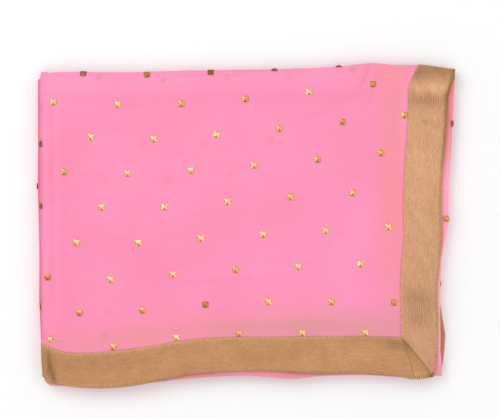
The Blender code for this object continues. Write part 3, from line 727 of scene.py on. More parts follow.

# The ribbons on the top

# Painted sheen and shade on the ribbons: over the back fold's roll, at the left fold and about the mitre,
# with the dark ticks of the selvedge at the right
ribbonShadingAndMarks = table(
    "x y wide deep strength",
    (188, 155, 30, 8, -0.16),
    (174, 150, 7, 6, -0.10),
    (183, 137.5, 26, 4.5, 0.19),
    (181, 126, 26, 6, -0.15),
    (178, 103.5, 3.5, 3.0, -0.20),
    (178, 52, 30, 44, 0.09),
    (172, -60, 14, 40, 0.03),
    (170, -92, 16, 10, -0.06),
    (182, -40, 7, 14, -0.04),
    (-150, -149, 30, 3, 0.07),
    (-140, -140, 60, 14, -0.09),
    (148, -119, 9, 5, -0.14),
    (-180, -135, 14, 6, -0.05),
    (-60, -125, 40, 5, -0.04),
    (70, -140, 50, 5, 0.05),
    (-205.5, -138, 1.4, 14, -0.22),
    (-201.8, -142, 1.7, 16, 0.10),
    (-198.5, -132, 1.8, 7, -0.22),
    (-196.8, -142, 1.9, 7, -0.32),
    (-193.5, -151, 2.3, 7, -0.36),
    (-191.5, -158, 2.6, 4, -0.32),
    (173, -75, 16, 15, -0.09),
    (170, -147.5, 6, 1.8, 0.20),
    (180, -146, 6, 9, -0.10),
    (166, -72, 8, 5, -0.14),
    (176, -74, 6, 6, -0.08),
    (168, -95, 9, 5, -0.08),
    (184, -88, 5, 16, -0.05),
    (150, -116, 8, 4, -0.12),
    (158, -124, 5, 5, -0.10),
    (-110, -137, 20, 4, -0.05),
    (10, -132, 26, 4, -0.05),
    (197.6, 128.5, 1.0, 2.6, -0.34),
    (197.5, 121.5, 0.9, 2.2, -0.26),
    (197.4, 113.0, 1.1, 4.0, -0.36),
    (197.3, 104.0, 0.9, 2.8, -0.26),
    (-120, -146, 45, 14, 0.06),
    (95, -131, 34, 10, 0.08),
    (-30, -134, 40, 10, 0.04),
    (-198, -140, 8, 18, -0.10),
    (186, -128, 9, 14, -0.12),
    (186, 150, 22, 9, -0.05),
    (196.0, 92.0, 0.9, 4.5, -0.22),
    (195.0, 77.0, 0.9, 3.0, -0.20),
)
# Where the ribbon's warp shows as fine dark lines
ribbonLines = table(
    "x y wide deep strength",
    (190, 156, 30, 9, 0.72),
    (181, 124, 26, 8, 0.55),
    (170, -80, 24, 28, 0.46),
    (180, 40, 20, 70, 0.10),
    (40, -130, 90, 14, 0.16),
    (-150, -142, 50, 16, 0.22),
    (-198, -138, 6, 20, 0.62),
)
# Greener gold, in the selvedge over the back fold and about the corner, with painted shadow along the
# mitre's fold and in its outer corner
ribbonOliveAndShade = table(
    "x1 y1 x2 y2 halfWidth strength",
    (207, 158, 201, 132, 2.6, 0.50),
    (199.5, 130, 196.5, 62, 2.2, 0.38),
    (195, 60, 193, -60, 2.0, 0.10),
    (-120, -158.5, -61, -148.5, 2.0, 0.15),
    (-61, -148, 45, -145.5, 2.0, 0.15),
    (45, -146, 150, -149.5, 2.0, 0.15),
    (173, 158, 160, 118, 2.0, 0.14),
    (171, 154, 168, 150, 3.2, 0.32),
    (157, -115, 185, -148, 1.2, 0.32),
    (146, -119, 158, -121, 5.0, 0.30),
    (157, -118, 168, -134, 3.6, 0.22),
    (100, -113, 140, -113, 3.0, 0.16),
    (-205, -126, -204.5, -152, 1.6, 0.45),
    (-199, -129, -195.5, -144, 1.5, 0.12),
    (-195.5, -144, -190, -158, 1.9, 0.16),
    (186, -150, 184, -151, 2.4, 0.60),
)
ribbonTop = {
    # Painted shade of each ribbon piece; the end ribbon's is none. It is one ribbon, drawn darker where it
    # faces away from the light or lies low under the folds
    "endShade": 1.0,
    "sideShade": 0.86,
    "tuckShade": 0.87,
    "lowerShade": 0.84,
    "edgeShade": 0.72,
    "upperShade": 0.8,
    "steps": 25,  # grid lines across
    "endSteps": (16, 150),  # along the mitre's slant, and from there to the fold
    "sideSteps": (8, 200),
    "tuckSteps": (24, 16),
    "noseSteps": (14, 7, 3.0),
    "creaseShare": 0.42,  # where the mitre's second crease meets the ribbon's outer edge
    "tuckUnder": 1.03,  # how far the pleat runs under the end ribbon
    "tuckLow": 0.02,
    "tuckRise": 0.22,
    "tuckRun": 0.22,  # its width along the ribbon, in units of 100 mm
    "tuckWall": 0.3,
    "mitreRise": 0.55,  # how far the end ribbon stands up at the mitre
    "mitreLines": 5.0,
    "mitreShare": 0.12,
}


def ribbonMasks(points, toneAndShading):
    x, y = points[..., 0], points[..., 1]
    return {
        "toneAndShading": toneAndShading * (1 + spots(ribbonShadingAndMarks, x, y)),
        "olive": np.clip(bands(ribbonOliveAndShade, x, y), 0, 0.8),
        "lines": np.clip(spots(ribbonLines, x, y), 0, 0.8),
    }


def acrossRibbon(share, y):
    inner = valueAt(rightEdge, "inner", y)
    return inner + (valueAt(rightEdge, "outer", y) - inner) * share


def forwardRibbon(share, x):
    inner = valueAt(frontEdge, "inner", x)
    return inner + (valueAt(frontEdge, "outer", x) - inner) * share


def ribbonCrossings(cornerSteps, middleSteps):
    # Lines across a ribbon from the mitre to under its fold: how much of the slant is left, the share
    # of the way to the fold, the roll's distance, and the inset and the fall beneath the nose
    corner = [(1 - k / cornerSteps, 0.0, 1.0, 0.0, 0.0) for k in range(cornerSteps)]
    middle = [(0.0, share, 1.0, 0.0, 0.0) for share in np.linspace(0, 1, middleSteps)[:-1]]
    nose = [(0.0, 1.0, *row) for row in noseRows(*ribbonTop["noseSteps"])]
    return np.array(corner + middle + nose)


def endRibbonGrid():
    # From the mitre's slant to under the back fold
    shares = np.linspace(0, 1, ribbonTop["steps"])[:, None]
    lines = ribbonCrossings(*ribbonTop["endSteps"])
    slant, way, distance, inset, down = lines.T

    def rowY(x):
        inner = valueAt(frontEdge, "inner", x)
        fold = valueAt(backEdge, "edge", x) - stack["backRoll"] * distance
        return forwardRibbon(shares * slant, x) + (fold - inner) * way

    x, y = settle(lambda y: acrossRibbon(shares, y), rowY, (len(shares), len(lines)))
    return np.stack([x, y - inset, topHeight(x, y) - down], axis=2), shares


def sideRibbonGrid():
    # From under the left fold to the mitre's second crease, front edge first
    shares = np.linspace(1, 0, ribbonTop["steps"])[None, :]
    lines = ribbonCrossings(*ribbonTop["sideSteps"])[::-1]
    slant, way, distance, inset, down = (column[:, None] for column in lines.T)

    def columnX(y):
        inner = valueAt(rightEdge, "inner", y)
        fold = valueAt(leftEdge, "nose", y) + stack["leftRoll"] * distance
        return acrossRibbon(ribbonTop["creaseShare"] * shares * slant, y) + (fold - inner) * way

    x, y = settle(columnX, lambda x: forwardRibbon(shares, x), (len(lines), shares.size))
    return np.stack([x + inset, y, topHeight(x, y) - down], axis=2), shares


def tuckGrid():
    # The pleat between the mitre's two creases, running a little way under the end ribbon
    steps, crease = ribbonTop["tuckSteps"], ribbonTop["creaseShare"]
    f, a = np.linspace(0.02, 1, steps[0])[:, None], np.linspace(0, 1, steps[1])[None, :]
    c = crease * f + (ribbonTop["tuckUnder"] - crease) * f * a
    x, y = settle(lambda y: acrossRibbon(c, y), lambda x: forwardRibbon(f, x), steps)
    return np.stack([x, y, topHeight(x, y)], axis=2), f, a + 0 * f


def runLength(points, axis):
    # Distance along the grid's lines, in units of 100 mm
    steps = np.linalg.norm(np.diff(points, axis=axis), axis=2)
    start = np.zeros_like(np.take(steps, [0], axis=axis))
    return np.cumsum(np.concatenate([start, steps], axis=axis), axis=axis) / 100


def makeRibbon(name, node, points, low, high, material, share, along, toneAndShading):
    # A ribbon's wall over its grid, with UV from the share across it and the length along it
    across = np.broadcast_to(share * ribbon["width"] / 100, points.shape[:2])
    normals = gridNormals(points)
    piece = shellMesh(name, points, normals, low, high, material, np.stack([across, along], axis=2),
                      ribbonMasks(points, ribbonTop[toneAndShading]))
    finishPiece(piece, "ribbon", node)
    return piece, normals


ribbonLow, ribbonHigh = ribbon["lift"], ribbon["lift"] + ribbon["wall"]

endPoints, shares = endRibbonGrid()
mitreLine = np.arange(endPoints.shape[1]) / ribbonTop["mitreLines"]
fromInner = smoothStep(shares / ribbonTop["mitreShare"])
mitreRise = ribbonTop["mitreRise"] * (1 - smoothStep(mitreLine)) * fromInner
endRibbon, endNormals = makeRibbon(
    "endRibbon", "end_border", endPoints, ribbonLow + 0.5 * mitreRise, ribbonHigh + mitreRise, endWeave,
    shares, runLength(endPoints, 1), "endShade"
)

sidePoints, shares = sideRibbonGrid()
sideRibbon, sideNormals = makeRibbon(
    "sideRibbon", "side_border", sidePoints, ribbonLow, ribbonHigh, sideWeave,
    shares, runLength(sidePoints, 0), "sideShade"
)

tuckPoints, shares, towards = tuckGrid()
tuckLow = ribbonTop["tuckLow"] + ribbonTop["tuckRise"] * (1 - towards)
tuckHigh = tuckLow + ribbonTop["tuckWall"]
cornerPleat, tuckNormals = makeRibbon(
    "cornerPleat", "corner_tuck", tuckPoints, tuckLow, tuckHigh, sideWeave,
    shares, ribbonTop["tuckRun"] * towards, "tuckShade"
)
print("top ribbons made")

# The folded cloth beneath: six strips of three layers, folded to and fro like the real cloth

folded = {
    "strips": 6,
    "layers": 3,  # layers of cloth in a strip, one level of height each
    "stripSteps": 70,
    "turnSteps": 8,
    "widthSteps": 9,
    "noseGap": 1.1,  # mm between the nested noses of one fold
    "turnDepth": 0.9,  # how deep a turn is for each level of its radius
    "turnStart": 0.4,
    "edgeNose": 0.6,
    "wall": 0.3,
    "levelWave": 0.24,
    "rolledLevels": 6,  # levels under the top face that follow its rolls
    "floorLevel": 17.75,
    "lowest": 0.12,
    "pressed": 0.07,  # how much the left fold presses the layers down
    "pressedWidth": 25.0,
    "turnWave": (0.35, 21.0),  # height and run of the uneven edges
    "turnRipple": (0.2, 9.5),
    "edgeWave": (0.55, 19.0),
    "edgeRipple": (0.3, 8.3),
    "endWave": (0.3, 19.0),
    "endInset": 1.7,  # how far the upper end stays in from the top cloth's edge
    "endStep": 0.45,
    "lastStep": 0.35,
    "bindingReach": 5,  # grid lines that a ribbon covers in from an edge
    "bindingHalf": 0.24,
    "bindingNose": 0.3,
    "bindingShare": 0.12,  # its width on each face, in units of 100 mm
}
# How each strip lies: the share of the fold drawn in frontEdge that it follows, and how far its
# folds and its ribbon edges reach beyond the top panel
stripRows = table(
    "strip foldShare frontFold frontEdge backFold backEdge",
    (1, 1.0, 0.0, -1.0, -1.8, -2.9),
    (2, 0.8, -0.5, -2.4, -0.9, -2.3),
    (3, 0.4, -1.0, -2.9, -1.3, -2.6),
    (4, 0.2, -1.5, -2.7, -1.0, -3.1),
    (5, 0.1, -1.9, -3.3, -1.9, -2.8),
    (6, 0.0, -2.2, -2.6, -2.3, -3.3),
)
# The turns at the left and right ends of the strips
turnRows = table(
    "turn share reach",
    (1, 0.0, 0.0),
    (2, 1.0, 0.0),
    (3, 1.0, 0.0),
    (4, 0.35, -0.8),
    (5, 0.15, 0.0),
)


def lengthLines():
    # Lines along the cloth's length: (strip or turn, is it a turn, share or angle)
    near = np.array([0.0, 0.0015, 0.005, 0.011, 0.02, 0.031])
    shares = np.concatenate([near, np.linspace(0.045, 0.955, folded["stripSteps"]), 1 - near[::-1]])
    lines = []
    for strip in range(1, folded["strips"] + 1):
        lines += [(strip, 0, share) for share in shares]
        if strip < folded["strips"]:
            lines += [(strip, 1, angle) for angle in np.linspace(0, math.pi, folded["turnSteps"] + 2)[1:-1]]
    return np.array(lines)


def widthLines():
    # Lines across the cloth, from the ribbon in front to the one at the back: layer offset, share of
    # the way from the front to the back, and distance in from the end of its layer
    near = np.array([0.0, 0.6, 2.0, 4.5, 8.0, 13.0, 19.0, 25.0])
    lines = []
    for offset in (1.0, 0.0, -1.0):
        layer = [(offset, 0.0, inward, 0.0) for inward in near]
        layer += [(offset, share, 0.0, 0.0) for share in np.linspace(0, 1, folded["widthSteps"])[1:-1]]
        layer += [(offset, 1.0, -inward, 0.0) for inward in near[::-1]]
        lines += layer if offset else layer[::-1]
        if offset >= 0:
            end = 1.0 if offset == 1 else 0.0
            for t in np.linspace(0, math.pi, 7)[1:-1]:
                lines.append((offset - 0.5 + 0.5 * math.cos(t), end, 0.0, math.sin(t)))
    return np.array(lines)


def levelHeight(x, y, level):
    # Height of a level of the stack, counted down from the top face: the upper levels follow the
    # rolls of the top cloth more and more, and the lower ones lie flat
    whole, top = flatHeight(x, y), topHeight(x, y)
    nearLeft = smoothStep(1 - (x - valueAt(leftEdge, "nose", y)) / folded["pressedWidth"])
    middle = whole * (2 / 3) * (1 - folded["pressed"] * nearLeft)
    level = level + folded["levelWave"] * np.sin(x / 29 + level * 1.7) * np.sin(y / 33 + level * 1.1 + 0.5)
    rolled = folded["rolledLevels"]
    upper = middle + (top - middle) * (1 - level / rolled)
    lower = middle * (1 - (level - rolled) / (folded["floorLevel"] - rolled))
    return np.maximum(np.where(level < rolled, upper, lower), folded["lowest"])


def waver(size, at, phase):
    # A soft wave of an edge, with its height and its run in millimetres
    return size[0] * np.sin(at / size[1] + phase)


def turnDepth(radius):
    return folded["turnDepth"] * radius + folded["turnStart"]


def turnX(number, y, side):
    # Where the nose of a turn lies, at the left (side -1) or at the right (side 1)
    follow = np.interp(number, turnRows["turn"], turnRows["share"])
    reach = np.interp(number, turnRows["turn"], turnRows["reach"])
    edge, outer, under = (leftEdge, "nose", "under") if side < 0 else (rightEdge, "outer", "fold")
    nose = valueAt(edge, outer, y)
    wave = waver(folded["turnWave"], y, 1.9 * number) + waver(folded["turnRipple"], y, number)
    return nose + (valueAt(edge, under, y) - nose) * follow + side * (reach + wave * (number > 2))


def foldedPoints(lengthwise, widthwise):
    # Points of the folded cloth where its length lines and its width lines cross
    strip, isTurn, value = (lengthwise[:, k][:, None] for k in range(3))
    offset, share, inward, bulge = (widthwise[:, k][None, :] for k in range(4))
    odd, turn = strip % 2 == 1, isTurn == 1
    sign = np.where(odd, 1.0, -1.0)
    strips = strip + np.where(turn, value / math.pi, 0.0)
    layers, half = folded["layers"], folded["layers"] / 2
    radius = half + sign * offset
    level = np.where(turn, layers * strip - radius * np.cos(value), layers * (strip - 0.5) - sign * offset)

    def endX(y):
        wave = waver(folded["endWave"], y, 3 * offset)
        start = valueAt(rightEdge, "outer", y) - folded["endInset"] + folded["endStep"] * offset + wave
        last = valueAt(floorRibbon, "outer", y) - folded["lastStep"] * (1 + offset)
        return np.where(strips < 2, start, last)

    def columnX(y):
        before, after = np.maximum(strip - 1, 0), strip
        leftNose = turnX(np.where(odd | turn, after, before), y, -1) + (1 - offset) * folded["noseGap"]
        rightNose = turnX(np.where(odd & ~turn, before, after), y, 1) - (1 + offset) * folded["noseGap"]
        leftEnd = leftNose + turnDepth(half + offset)
        rightEnd = rightNose - turnDepth(half - offset)
        rightEnd = np.where((strip == 1) & ~turn | (strip == folded["strips"]), endX(y), rightEnd)
        flat = leftEnd + (rightEnd - leftEnd) * np.where(odd, 1 - value, value)
        bent = turnDepth(radius) * (1 - np.sin(value))
        return np.where(turn, np.where(odd, leftNose + bent, rightNose - bent), flat)

    def rowY(x):
        wave = waver(folded["edgeWave"], x, 2.3 * strips)
        wave = wave + waver(folded["edgeRipple"], x, 4.1 * strips + offset)
        reach = {name: np.interp(strips, stripRows["strip"], stripRows[name]) for name in stripRows}
        outer, fold = valueAt(frontEdge, "outer", x), valueAt(frontEdge, "fold", x)
        foldFront = outer + (fold - outer) * reach["foldShare"] - reach["frontFold"]
        front = foldFront + (outer - reach["frontEdge"] - foldFront) * np.clip(offset, 0, 1)
        back = valueAt(backEdge, "edge", x) + reach["backFold"]
        back = back + (reach["backEdge"] - reach["backFold"]) * np.clip(-offset, 0, 1)
        front, back = front - wave * (strips > 2), back + wave
        y = front + (back - front) * share + inward
        return y + np.where(share > 0.5, 1, -1) * bulge * folded["edgeNose"]

    x, y = settle(columnX, rowY, (len(lengthwise), len(widthwise)))
    return np.stack([x, y, levelHeight(x, y, level)], axis=2)


def foldedMasks(x, y):
    # What shows at the edges: a ribbon beneath in front, deeper pink at the left, and at the right a
    # single pale layer towards the middle, a warm one behind and a ribbon at the near tip
    front = np.exp(-((y - valueAt(frontEdge, "outer", x)) / 9) ** 2)
    right = smoothStep((x - valueAt(rightEdge, "outer", y) + 3) / 3)
    left = smoothStep((valueAt(leftEdge, "nose", y) + 0.8 - x) / 1.6)
    corner = front * smoothStep((-184 - x) / 10)
    behind = smoothStep((y - 45) / 45)
    farFront = smoothStep((-90 - y) / 50)
    tip = smoothStep((-132 - y) / 12)
    frontAlone = front * (1 - right)
    deep = 0.12 * (1 - right) * (1 - front) + 0.5 * left + 0.16 * right * farFront
    return {
        "deep": np.clip(deep, 0, 0.6),
        "warm": np.clip(0.4 * frontAlone + right * (0.12 + 0.6 * behind), 0, 0.75),
        "underRibbon": 0.22 * frontAlone + 0.5 * corner + 0.5 * right * tip,
        # The toneAndShading mask paints the right edges lighter, most towards the front, as painted light,
        # and the front edge a touch darker
        "toneAndShading": 1 - 0.02 * frontAlone + right * (0.18 - 0.17 * behind - 0.08 * tip),
        "pale": right * (0.24 - 0.22 * behind - 0.16 * farFront),
    }


lengthwise, widthwise = lengthLines(), widthLines()
foldedGrid = foldedPoints(lengthwise, widthwise)
foldedNormals = gridNormals(foldedGrid)
foldedUv = np.stack([runLength(foldedGrid, 1), runLength(foldedGrid, 0)], axis=2)
# The top layer of the first strip, its left turn and its back fold are the top cloth
inTop = (lengthwise[:, 0] == 1)[:, None] & (widthwise[:, 0] > 0.02)[None, :]
kept = ~(inTop[:-1, :-1] & inTop[1:, 1:])
foldedCloth = shellMesh("foldedCloth", foldedGrid, foldedNormals, -folded["wall"] / 2, folded["wall"] / 2,
                        innerCloth, foldedUv, foldedMasks(foldedGrid[..., 0], foldedGrid[..., 1]), kept)
finishPiece(foldedCloth, "inner_cloth", "folded_layers")
print("folded cloth made")


def edgeBinding(name, picks, side, span, toneAndShading):
    # A ribbon folded round an edge of the cloth: points from the edge inwards, on both faces
    turned = (1, 0, 2) if side == "width" else (0, 1, 2)
    grids = (grid.transpose(turned) for grid in (foldedGrid, foldedNormals))
    lines, normals = ([grid[k][span] for k in picks] for grid in grids)
    half = folded["bindingHalf"]
    outward = lines[0] - lines[1]
    outward /= np.maximum(np.linalg.norm(outward, axis=1, keepdims=True), 1e-9)
    over = [line + normal * half for line, normal in zip(lines[::-1], normals[::-1])]
    under = [line - normal * half for line, normal in zip(lines, normals)]
    middle = [lines[0] + outward * folded["bindingNose"] + normals[0] * half * turn for turn in (0.5, -0.5)]
    points = np.stack(over + middle + under, axis=1)
    reach = folded["bindingShare"]
    across = np.concatenate([np.linspace(reach, 0, len(over) + 1), np.linspace(0, reach, len(under) + 1)])
    uv = np.stack([np.broadcast_to(across, points.shape[:2]), runLength(points, 0)], axis=2)
    return makeMesh(name, points.reshape(-1, 3), gridFaces(*points.shape[:2])[:, ::-1], sideWeave,
                    uv.reshape(-1, 2), {"toneAndShading": np.full(points.shape[:2], toneAndShading)})


def joined(name, pieces):
    with bpy.context.temp_override(active_object=pieces[0], selected_editable_objects=pieces):
        bpy.ops.object.join()
    pieces[0].name = name
    return pieces[0]


reachLines = list(range(folded["bindingReach"]))
lastLines = [-1 - k for k in reachLines]
topLines = int((lengthwise[:, 0] == 1).sum())
bodyLines = int((widthwise[:, 0] > 0.02).sum())
foldedRibbons = joined("foldedRibbons", [
    edgeBinding("frontEdges", reachLines, "width", slice(topLines, None), ribbonTop["edgeShade"]),
    edgeBinding("backEdges", lastLines, "width", slice(None), ribbonTop["edgeShade"]),
    edgeBinding("upperEnd", reachLines, "length", slice(bodyLines, None), ribbonTop["upperShade"]),
])
finishPiece(foldedRibbons, "ribbon")
lowerRibbon = edgeBinding("lowerRibbon", lastLines, "length", slice(None), ribbonTop["lowerShade"])
finishPiece(lowerRibbon, "ribbon", "lower_end_border")
print("folded ribbons made")

# Studs, stitches and picots, set along the cloth by Geometry Nodes

stud = {
    "side": 6.0,
    "height": 1.35,
    "flange": 0.35,
    "ridge": 0.3,
    "sink": 0.15,
    "clear": 0.6,  # from a ribbon's inner edge
    "tilt": 0.05,  # how far they stand askew, in radians
    "spin": 0.1,
    # faceShading is painted light and shade on the stud's faces, lightest at the back and darkest at the
    # front
    "faceShading": (0.9, 1.0, 0.72, 0.34),  # the faces to the right, the back, the left and the front
}
studRows = table(
    "count firstX lastX firstY secondY middleY lastY",
    (6, -193.0, 126.0, 123.2, 120.5, 123.6, 141.0),
    (6, -155.8, 158.0, 87.8, 86.2, 93.6, 110.5),
    (6, -182.4, 133.6, 53.4, 51.8, 57.2, 72.3),
    (5, -145.1, 106.3, 18.1, 18.5, 23.6, 32.8),
    (6, -170.5, 141.0, -17.2, -17.4, -10.9, -1.4),
    (6, -198.9, 113.6, -51.7, -53.9, -46.1, -38.4),
    (6, -167.1, 147.2, -87.2, -84.7, -77.0, -77.0),
    (6, -196.6, 118.0, -113.8, -121.5, -111.5, -108.5),
)
# Studs on the rolls of the back fold and of the left fold. Those that hang over the back fold's nose
# lean back by an angle, with their middle above or below it
foldStuds = table(
    "x y lean rise",
    (-164.0, 152.1, 0, 0),
    (-100.2, 150.8, 0, 0),
    (-36.4, 153.4, 0, 0),
    (27.5, 156.3, 1.2, 0.55),
    (92.0, 159.7, 1.4, -0.3),
    (-207.0, 81.5, 0, 0),
    (-206.7, 19.5, 0, 0),
)
# Tarnished studs, and those that lean away from the light
dullStuds = table(
    "x y wide deep strength",
    (-40, 156, 400, 7.0, 1.3),
    (-207, 81.5, 4, 5, 0.9),
    (-207, 19.5, 4, 5, 0.9),
    (98, 101.5, 6, 6, 0.78),
    (-42, -77.5, 6, 6, 0.75),
    (-8, -109.5, 6, 6, 0.4),
    (-199, -51.5, 6, 6, 0.65),
    (205, 104, 9, 9, 1.2),
    (200, 5, 9, 9, 0.55),
    (146, -77, 6, 6, 0.5),
    (-66, 121.5, 6, 6, 0.36),
    (-2, 127.5, 6, 6, 0.42),
    (126, 141.5, 6, 6, 0.6),
    (32, 97.5, 6, 6, 0.25),
    (-182, 54.5, 6, 6, 0.42),
    (70, 66.5, 6, 6, 0.42),
    (134, 73.5, 6, 6, 0.38),
    (106, 33.5, 6, 6, 0.26),
    (43, 29.5, 6, 6, 0.2),
    (-11, -42.5, 6, 6, 0.42),
    (-167, -85.5, 6, 6, 0.58),
    (-105, -84.5, 6, 6, 0.46),
    (84, -76.5, 6, 6, 0.26),
    (-134, -120.5, 6, 6, 0.3),
    (157, 111.5, 6, 6, 0.4),
)
# Studs on the folds below: the turn that they lie on, layer offset, angle of the turn, share to the back
lowerStuds = table(
    "turn offset angle share",
    (2, -1.0, 1.2, 0.829),
    (2, -1.0, 0.12, 0.513),
    (2, -1.0, 2.1, 0.30),
    (3, 1.0, 1.9, 0.62),
    (3, 1.0, 1.2, 0.22),
    (5, 1.0, 1.4, 0.42),
    (4, -1.0, 1.6, 0.66),
)


def nodeGroup(name, **sizes):
    # An empty Geometry Nodes group with named inputs of the given kinds, and its two ends
    group = bpy.data.node_groups.new(name, "GeometryNodeTree")
    group.interface.new_socket("Geometry", in_out="INPUT", socket_type="NodeSocketGeometry")
    for title, kind in sizes.items():
        group.interface.new_socket(title, in_out="INPUT", socket_type="NodeSocket" + kind)
    group.interface.new_socket("Geometry", in_out="OUTPUT", socket_type="NodeSocketGeometry")
    return group, group.nodes.new("NodeGroupInput"), group.nodes.new("NodeGroupOutput")


def wire(group, *pairs):
    for start, end in pairs:
        group.links.new(start, end)


def vectorAt(group, title):
    # A named vector of each point
    reader = group.nodes.new("GeometryNodeInputNamedAttribute")
    reader.data_type = "FLOAT_VECTOR"
    reader.inputs["Name"].default_value = title
    return reader.outputs["Attribute"]


def finishGroup(group, instances, source, result):
    realize = group.nodes.new("GeometryNodeRealizeInstances")
    paint = group.nodes.new("GeometryNodeSetMaterial")
    wire(
        group,
        (instances, realize.inputs[0]),
        (realize.outputs[0], paint.inputs["Geometry"]),
        (source.outputs["Material"], paint.inputs["Material"]),
        (paint.outputs[0], result.inputs[0]),
    )
    return group


def studGroup():
    # One stud form at each point, turned by the point's own angles
    group, source, result = nodeGroup("setStuds", Form="Object", Size="Float", Material="Material")
    form = group.nodes.new("GeometryNodeObjectInfo")
    place = group.nodes.new("GeometryNodeInstanceOnPoints")
    wire(
        group,
        (source.outputs["Form"], form.inputs["Object"]),
        (source.outputs["Geometry"], place.inputs["Points"]),
        (form.outputs["Geometry"], place.inputs["Instance"]),
        (vectorAt(group, "angles"), place.inputs["Rotation"]),
        (source.outputs["Size"], place.inputs["Scale"]),
    )
    return finishGroup(group, place.outputs["Instances"], source, result)


def threadGroup():
    # Beads of thread spaced along a line, lying on the cloth
    group, source, result = nodeGroup(
        "setThreads", Pitch="Float", Across="Float", Along="Float", Thick="Float", Material="Material"
    )
    nodes = group.nodes
    curve = nodes.new("GeometryNodeMeshToCurve")
    spaced = nodes.new("GeometryNodeResampleCurve")
    spaced.mode = "LENGTH"
    bead = nodes.new("GeometryNodeMeshIcoSphere")
    bead.inputs["Radius"].default_value = 0.5
    bead.inputs["Subdivisions"].default_value = 2
    tangent = nodes.new("GeometryNodeInputTangent")
    alongLine = nodes.new("FunctionNodeAlignRotationToVector")
    alongLine.axis = "X"
    upright = nodes.new("FunctionNodeAlignRotationToVector")
    upright.axis = "Z"
    upright.pivot_axis = "X"
    size = nodes.new("ShaderNodeCombineXYZ")
    place = nodes.new("GeometryNodeInstanceOnPoints")
    wire(
        group,
        (source.outputs["Geometry"], curve.inputs[0]),
        (curve.outputs[0], spaced.inputs["Curve"]),
        (source.outputs["Pitch"], spaced.inputs["Length"]),
        (tangent.outputs[0], alongLine.inputs["Vector"]),
        (alongLine.outputs[0], upright.inputs["Rotation"]),
        (vectorAt(group, "up"), upright.inputs["Vector"]),
        (source.outputs["Along"], size.inputs[0]),
        (source.outputs["Across"], size.inputs[1]),
        (source.outputs["Thick"], size.inputs[2]),
        (spaced.outputs[0], place.inputs["Points"]),
        (bead.outputs["Mesh"], place.inputs["Instance"]),
        (upright.outputs[0], place.inputs["Rotation"]),
        (size.outputs[0], place.inputs["Scale"]),
    )
    return finishGroup(group, place.outputs["Instances"], source, result)


def basePoints(name, points, edges, **attributes):
    # Points or a line for Geometry Nodes, with named numbers or vectors at each point
    mesh = bpy.data.meshes.new(name)
    mesh.from_pydata(placed(points).tolist(), edges, [])
    for title, values in attributes.items():
        values = np.asarray(values, np.float32)
        kind, field = ("FLOAT_VECTOR", "vector") if values.ndim == 2 else ("FLOAT", "value")
        mesh.attributes.new(title, kind, "POINT").data.foreach_set(field, values.ravel())
    return linked(name, mesh)


def grown(name, base, group, values):
    # The plain mesh that a node group makes from a base mesh
    modifier = base.modifiers.new(name, "NODES")
    modifier.node_group = group
    for item in group.interface.items_tree:
        if item.in_out == "INPUT" and item.name in values:
            modifier[item.identifier] = values[item.name]
    seen = base.evaluated_get(bpy.context.evaluated_depsgraph_get())
    mesh = bpy.data.meshes.new_from_object(seen)
    bpy.data.objects.remove(base)
    mesh.name = name
    return linked(name, mesh)


def studForm():
    # One pyramid with worn ridges on a low square rim
    half, flange, height = stud["side"] / 2, stud["flange"], stud["height"]
    rings = (  # reach, height, and polish in the middle of a face and at its corners
        (half, -stud["sink"], 0.1, 0.25),
        (half + 0.05, 0.6 * flange, 0.22, 0.7),
        (half - 0.15, flange, 0.48, 0.88),
        (0.56 * half, flange + 0.42 * (height - flange), 0.9, 1.0),
        (0.42, height, 1.0, 1.0),
    )
    points, polishAndShade = [], []
    for reach, rise, middle, corner in rings:
        end = reach - min(stud["ridge"], 0.45 * reach)
        # Each face's polish is scaled by its painted light and shade
        for side, share in enumerate(stud["faceShading"]):
            turn = Matrix.Rotation(side * math.pi / 2, 3, "Z")
            for along, shine in ((-end, corner), (0.0, middle), (end, corner)):
                points.append(turn @ Vector((reach, along, rise)) * mm)
                polishAndShade.append(shine * (share if along == 0 else 0.5 + 0.5 * share))
    count = len(points) // len(rings)
    faces = []
    for k in range(len(rings) - 1):
        for side in range(count):
            after = (side + 1) % count
            low, high = k * count, (k + 1) * count
            faces.append([low + side, low + after, high + after, high + side])
    faces.append(list(range(len(points) - count, len(points))))
    faces.append(list(range(count))[::-1])
    mesh = bpy.data.meshes.new("studForm")
    mesh.from_pydata(points, [], faces)
    mesh.attributes.new("polishAndShade", "FLOAT", "POINT").data.foreach_set("value", polishAndShade)
    return linked("studForm", mesh)


def topNormal(x, y):
    step = 0.4
    slopeX = (topHeight(x + step, y) - topHeight(x - step, y)) / (2 * step)
    slopeY = (topHeight(x, y + step) - topHeight(x, y - step)) / (2 * step)
    normal = np.stack([-slopeX, -slopeY, np.ones_like(slopeX)], axis=-1)
    return normal / np.linalg.norm(normal, axis=-1, keepdims=True)


def topStudPlaces():
    # The lattice of studs on the flat panel, clear of the ribbons' inner edges
    half = stud["side"] / 2
    reach = half + stud["clear"]
    places = []
    for count, firstX, lastX, *heights in zip(*studRows.values()):
        stations = {"share": np.array([0, 1 / (count - 1), 0.5, 1.0]), "y": np.array(heights)}
        share = np.arange(int(count)) / (count - 1)
        x = firstX + (lastX - firstX) * share
        y = valueAt(stations, "y", share)
        for side in (-half, half):
            y = np.maximum(y, valueAt(frontEdge, "inner", x + side) + reach)
            x = np.minimum(x, valueAt(rightEdge, "inner", y + side) - reach)
        places += list(zip(x, y))
    return np.array(places)


def foldStudPlaces():
    # Points and upward directions of the studs on the rolls of the top cloth
    x, y = foldStuds["x"], foldStuds["y"]
    points, normals = np.stack([x, y, topHeight(x, y)], axis=1), topNormal(x, y)
    for k, lean in enumerate(foldStuds["lean"]):
        if lean > 0:
            nose = valueAt(backEdge, "edge", x[k])
            points[k, 2] = topHeight(x[k], nose) + foldStuds["rise"][k]
            normals[k] = (0, math.sin(lean), math.cos(lean))
    return points, normals


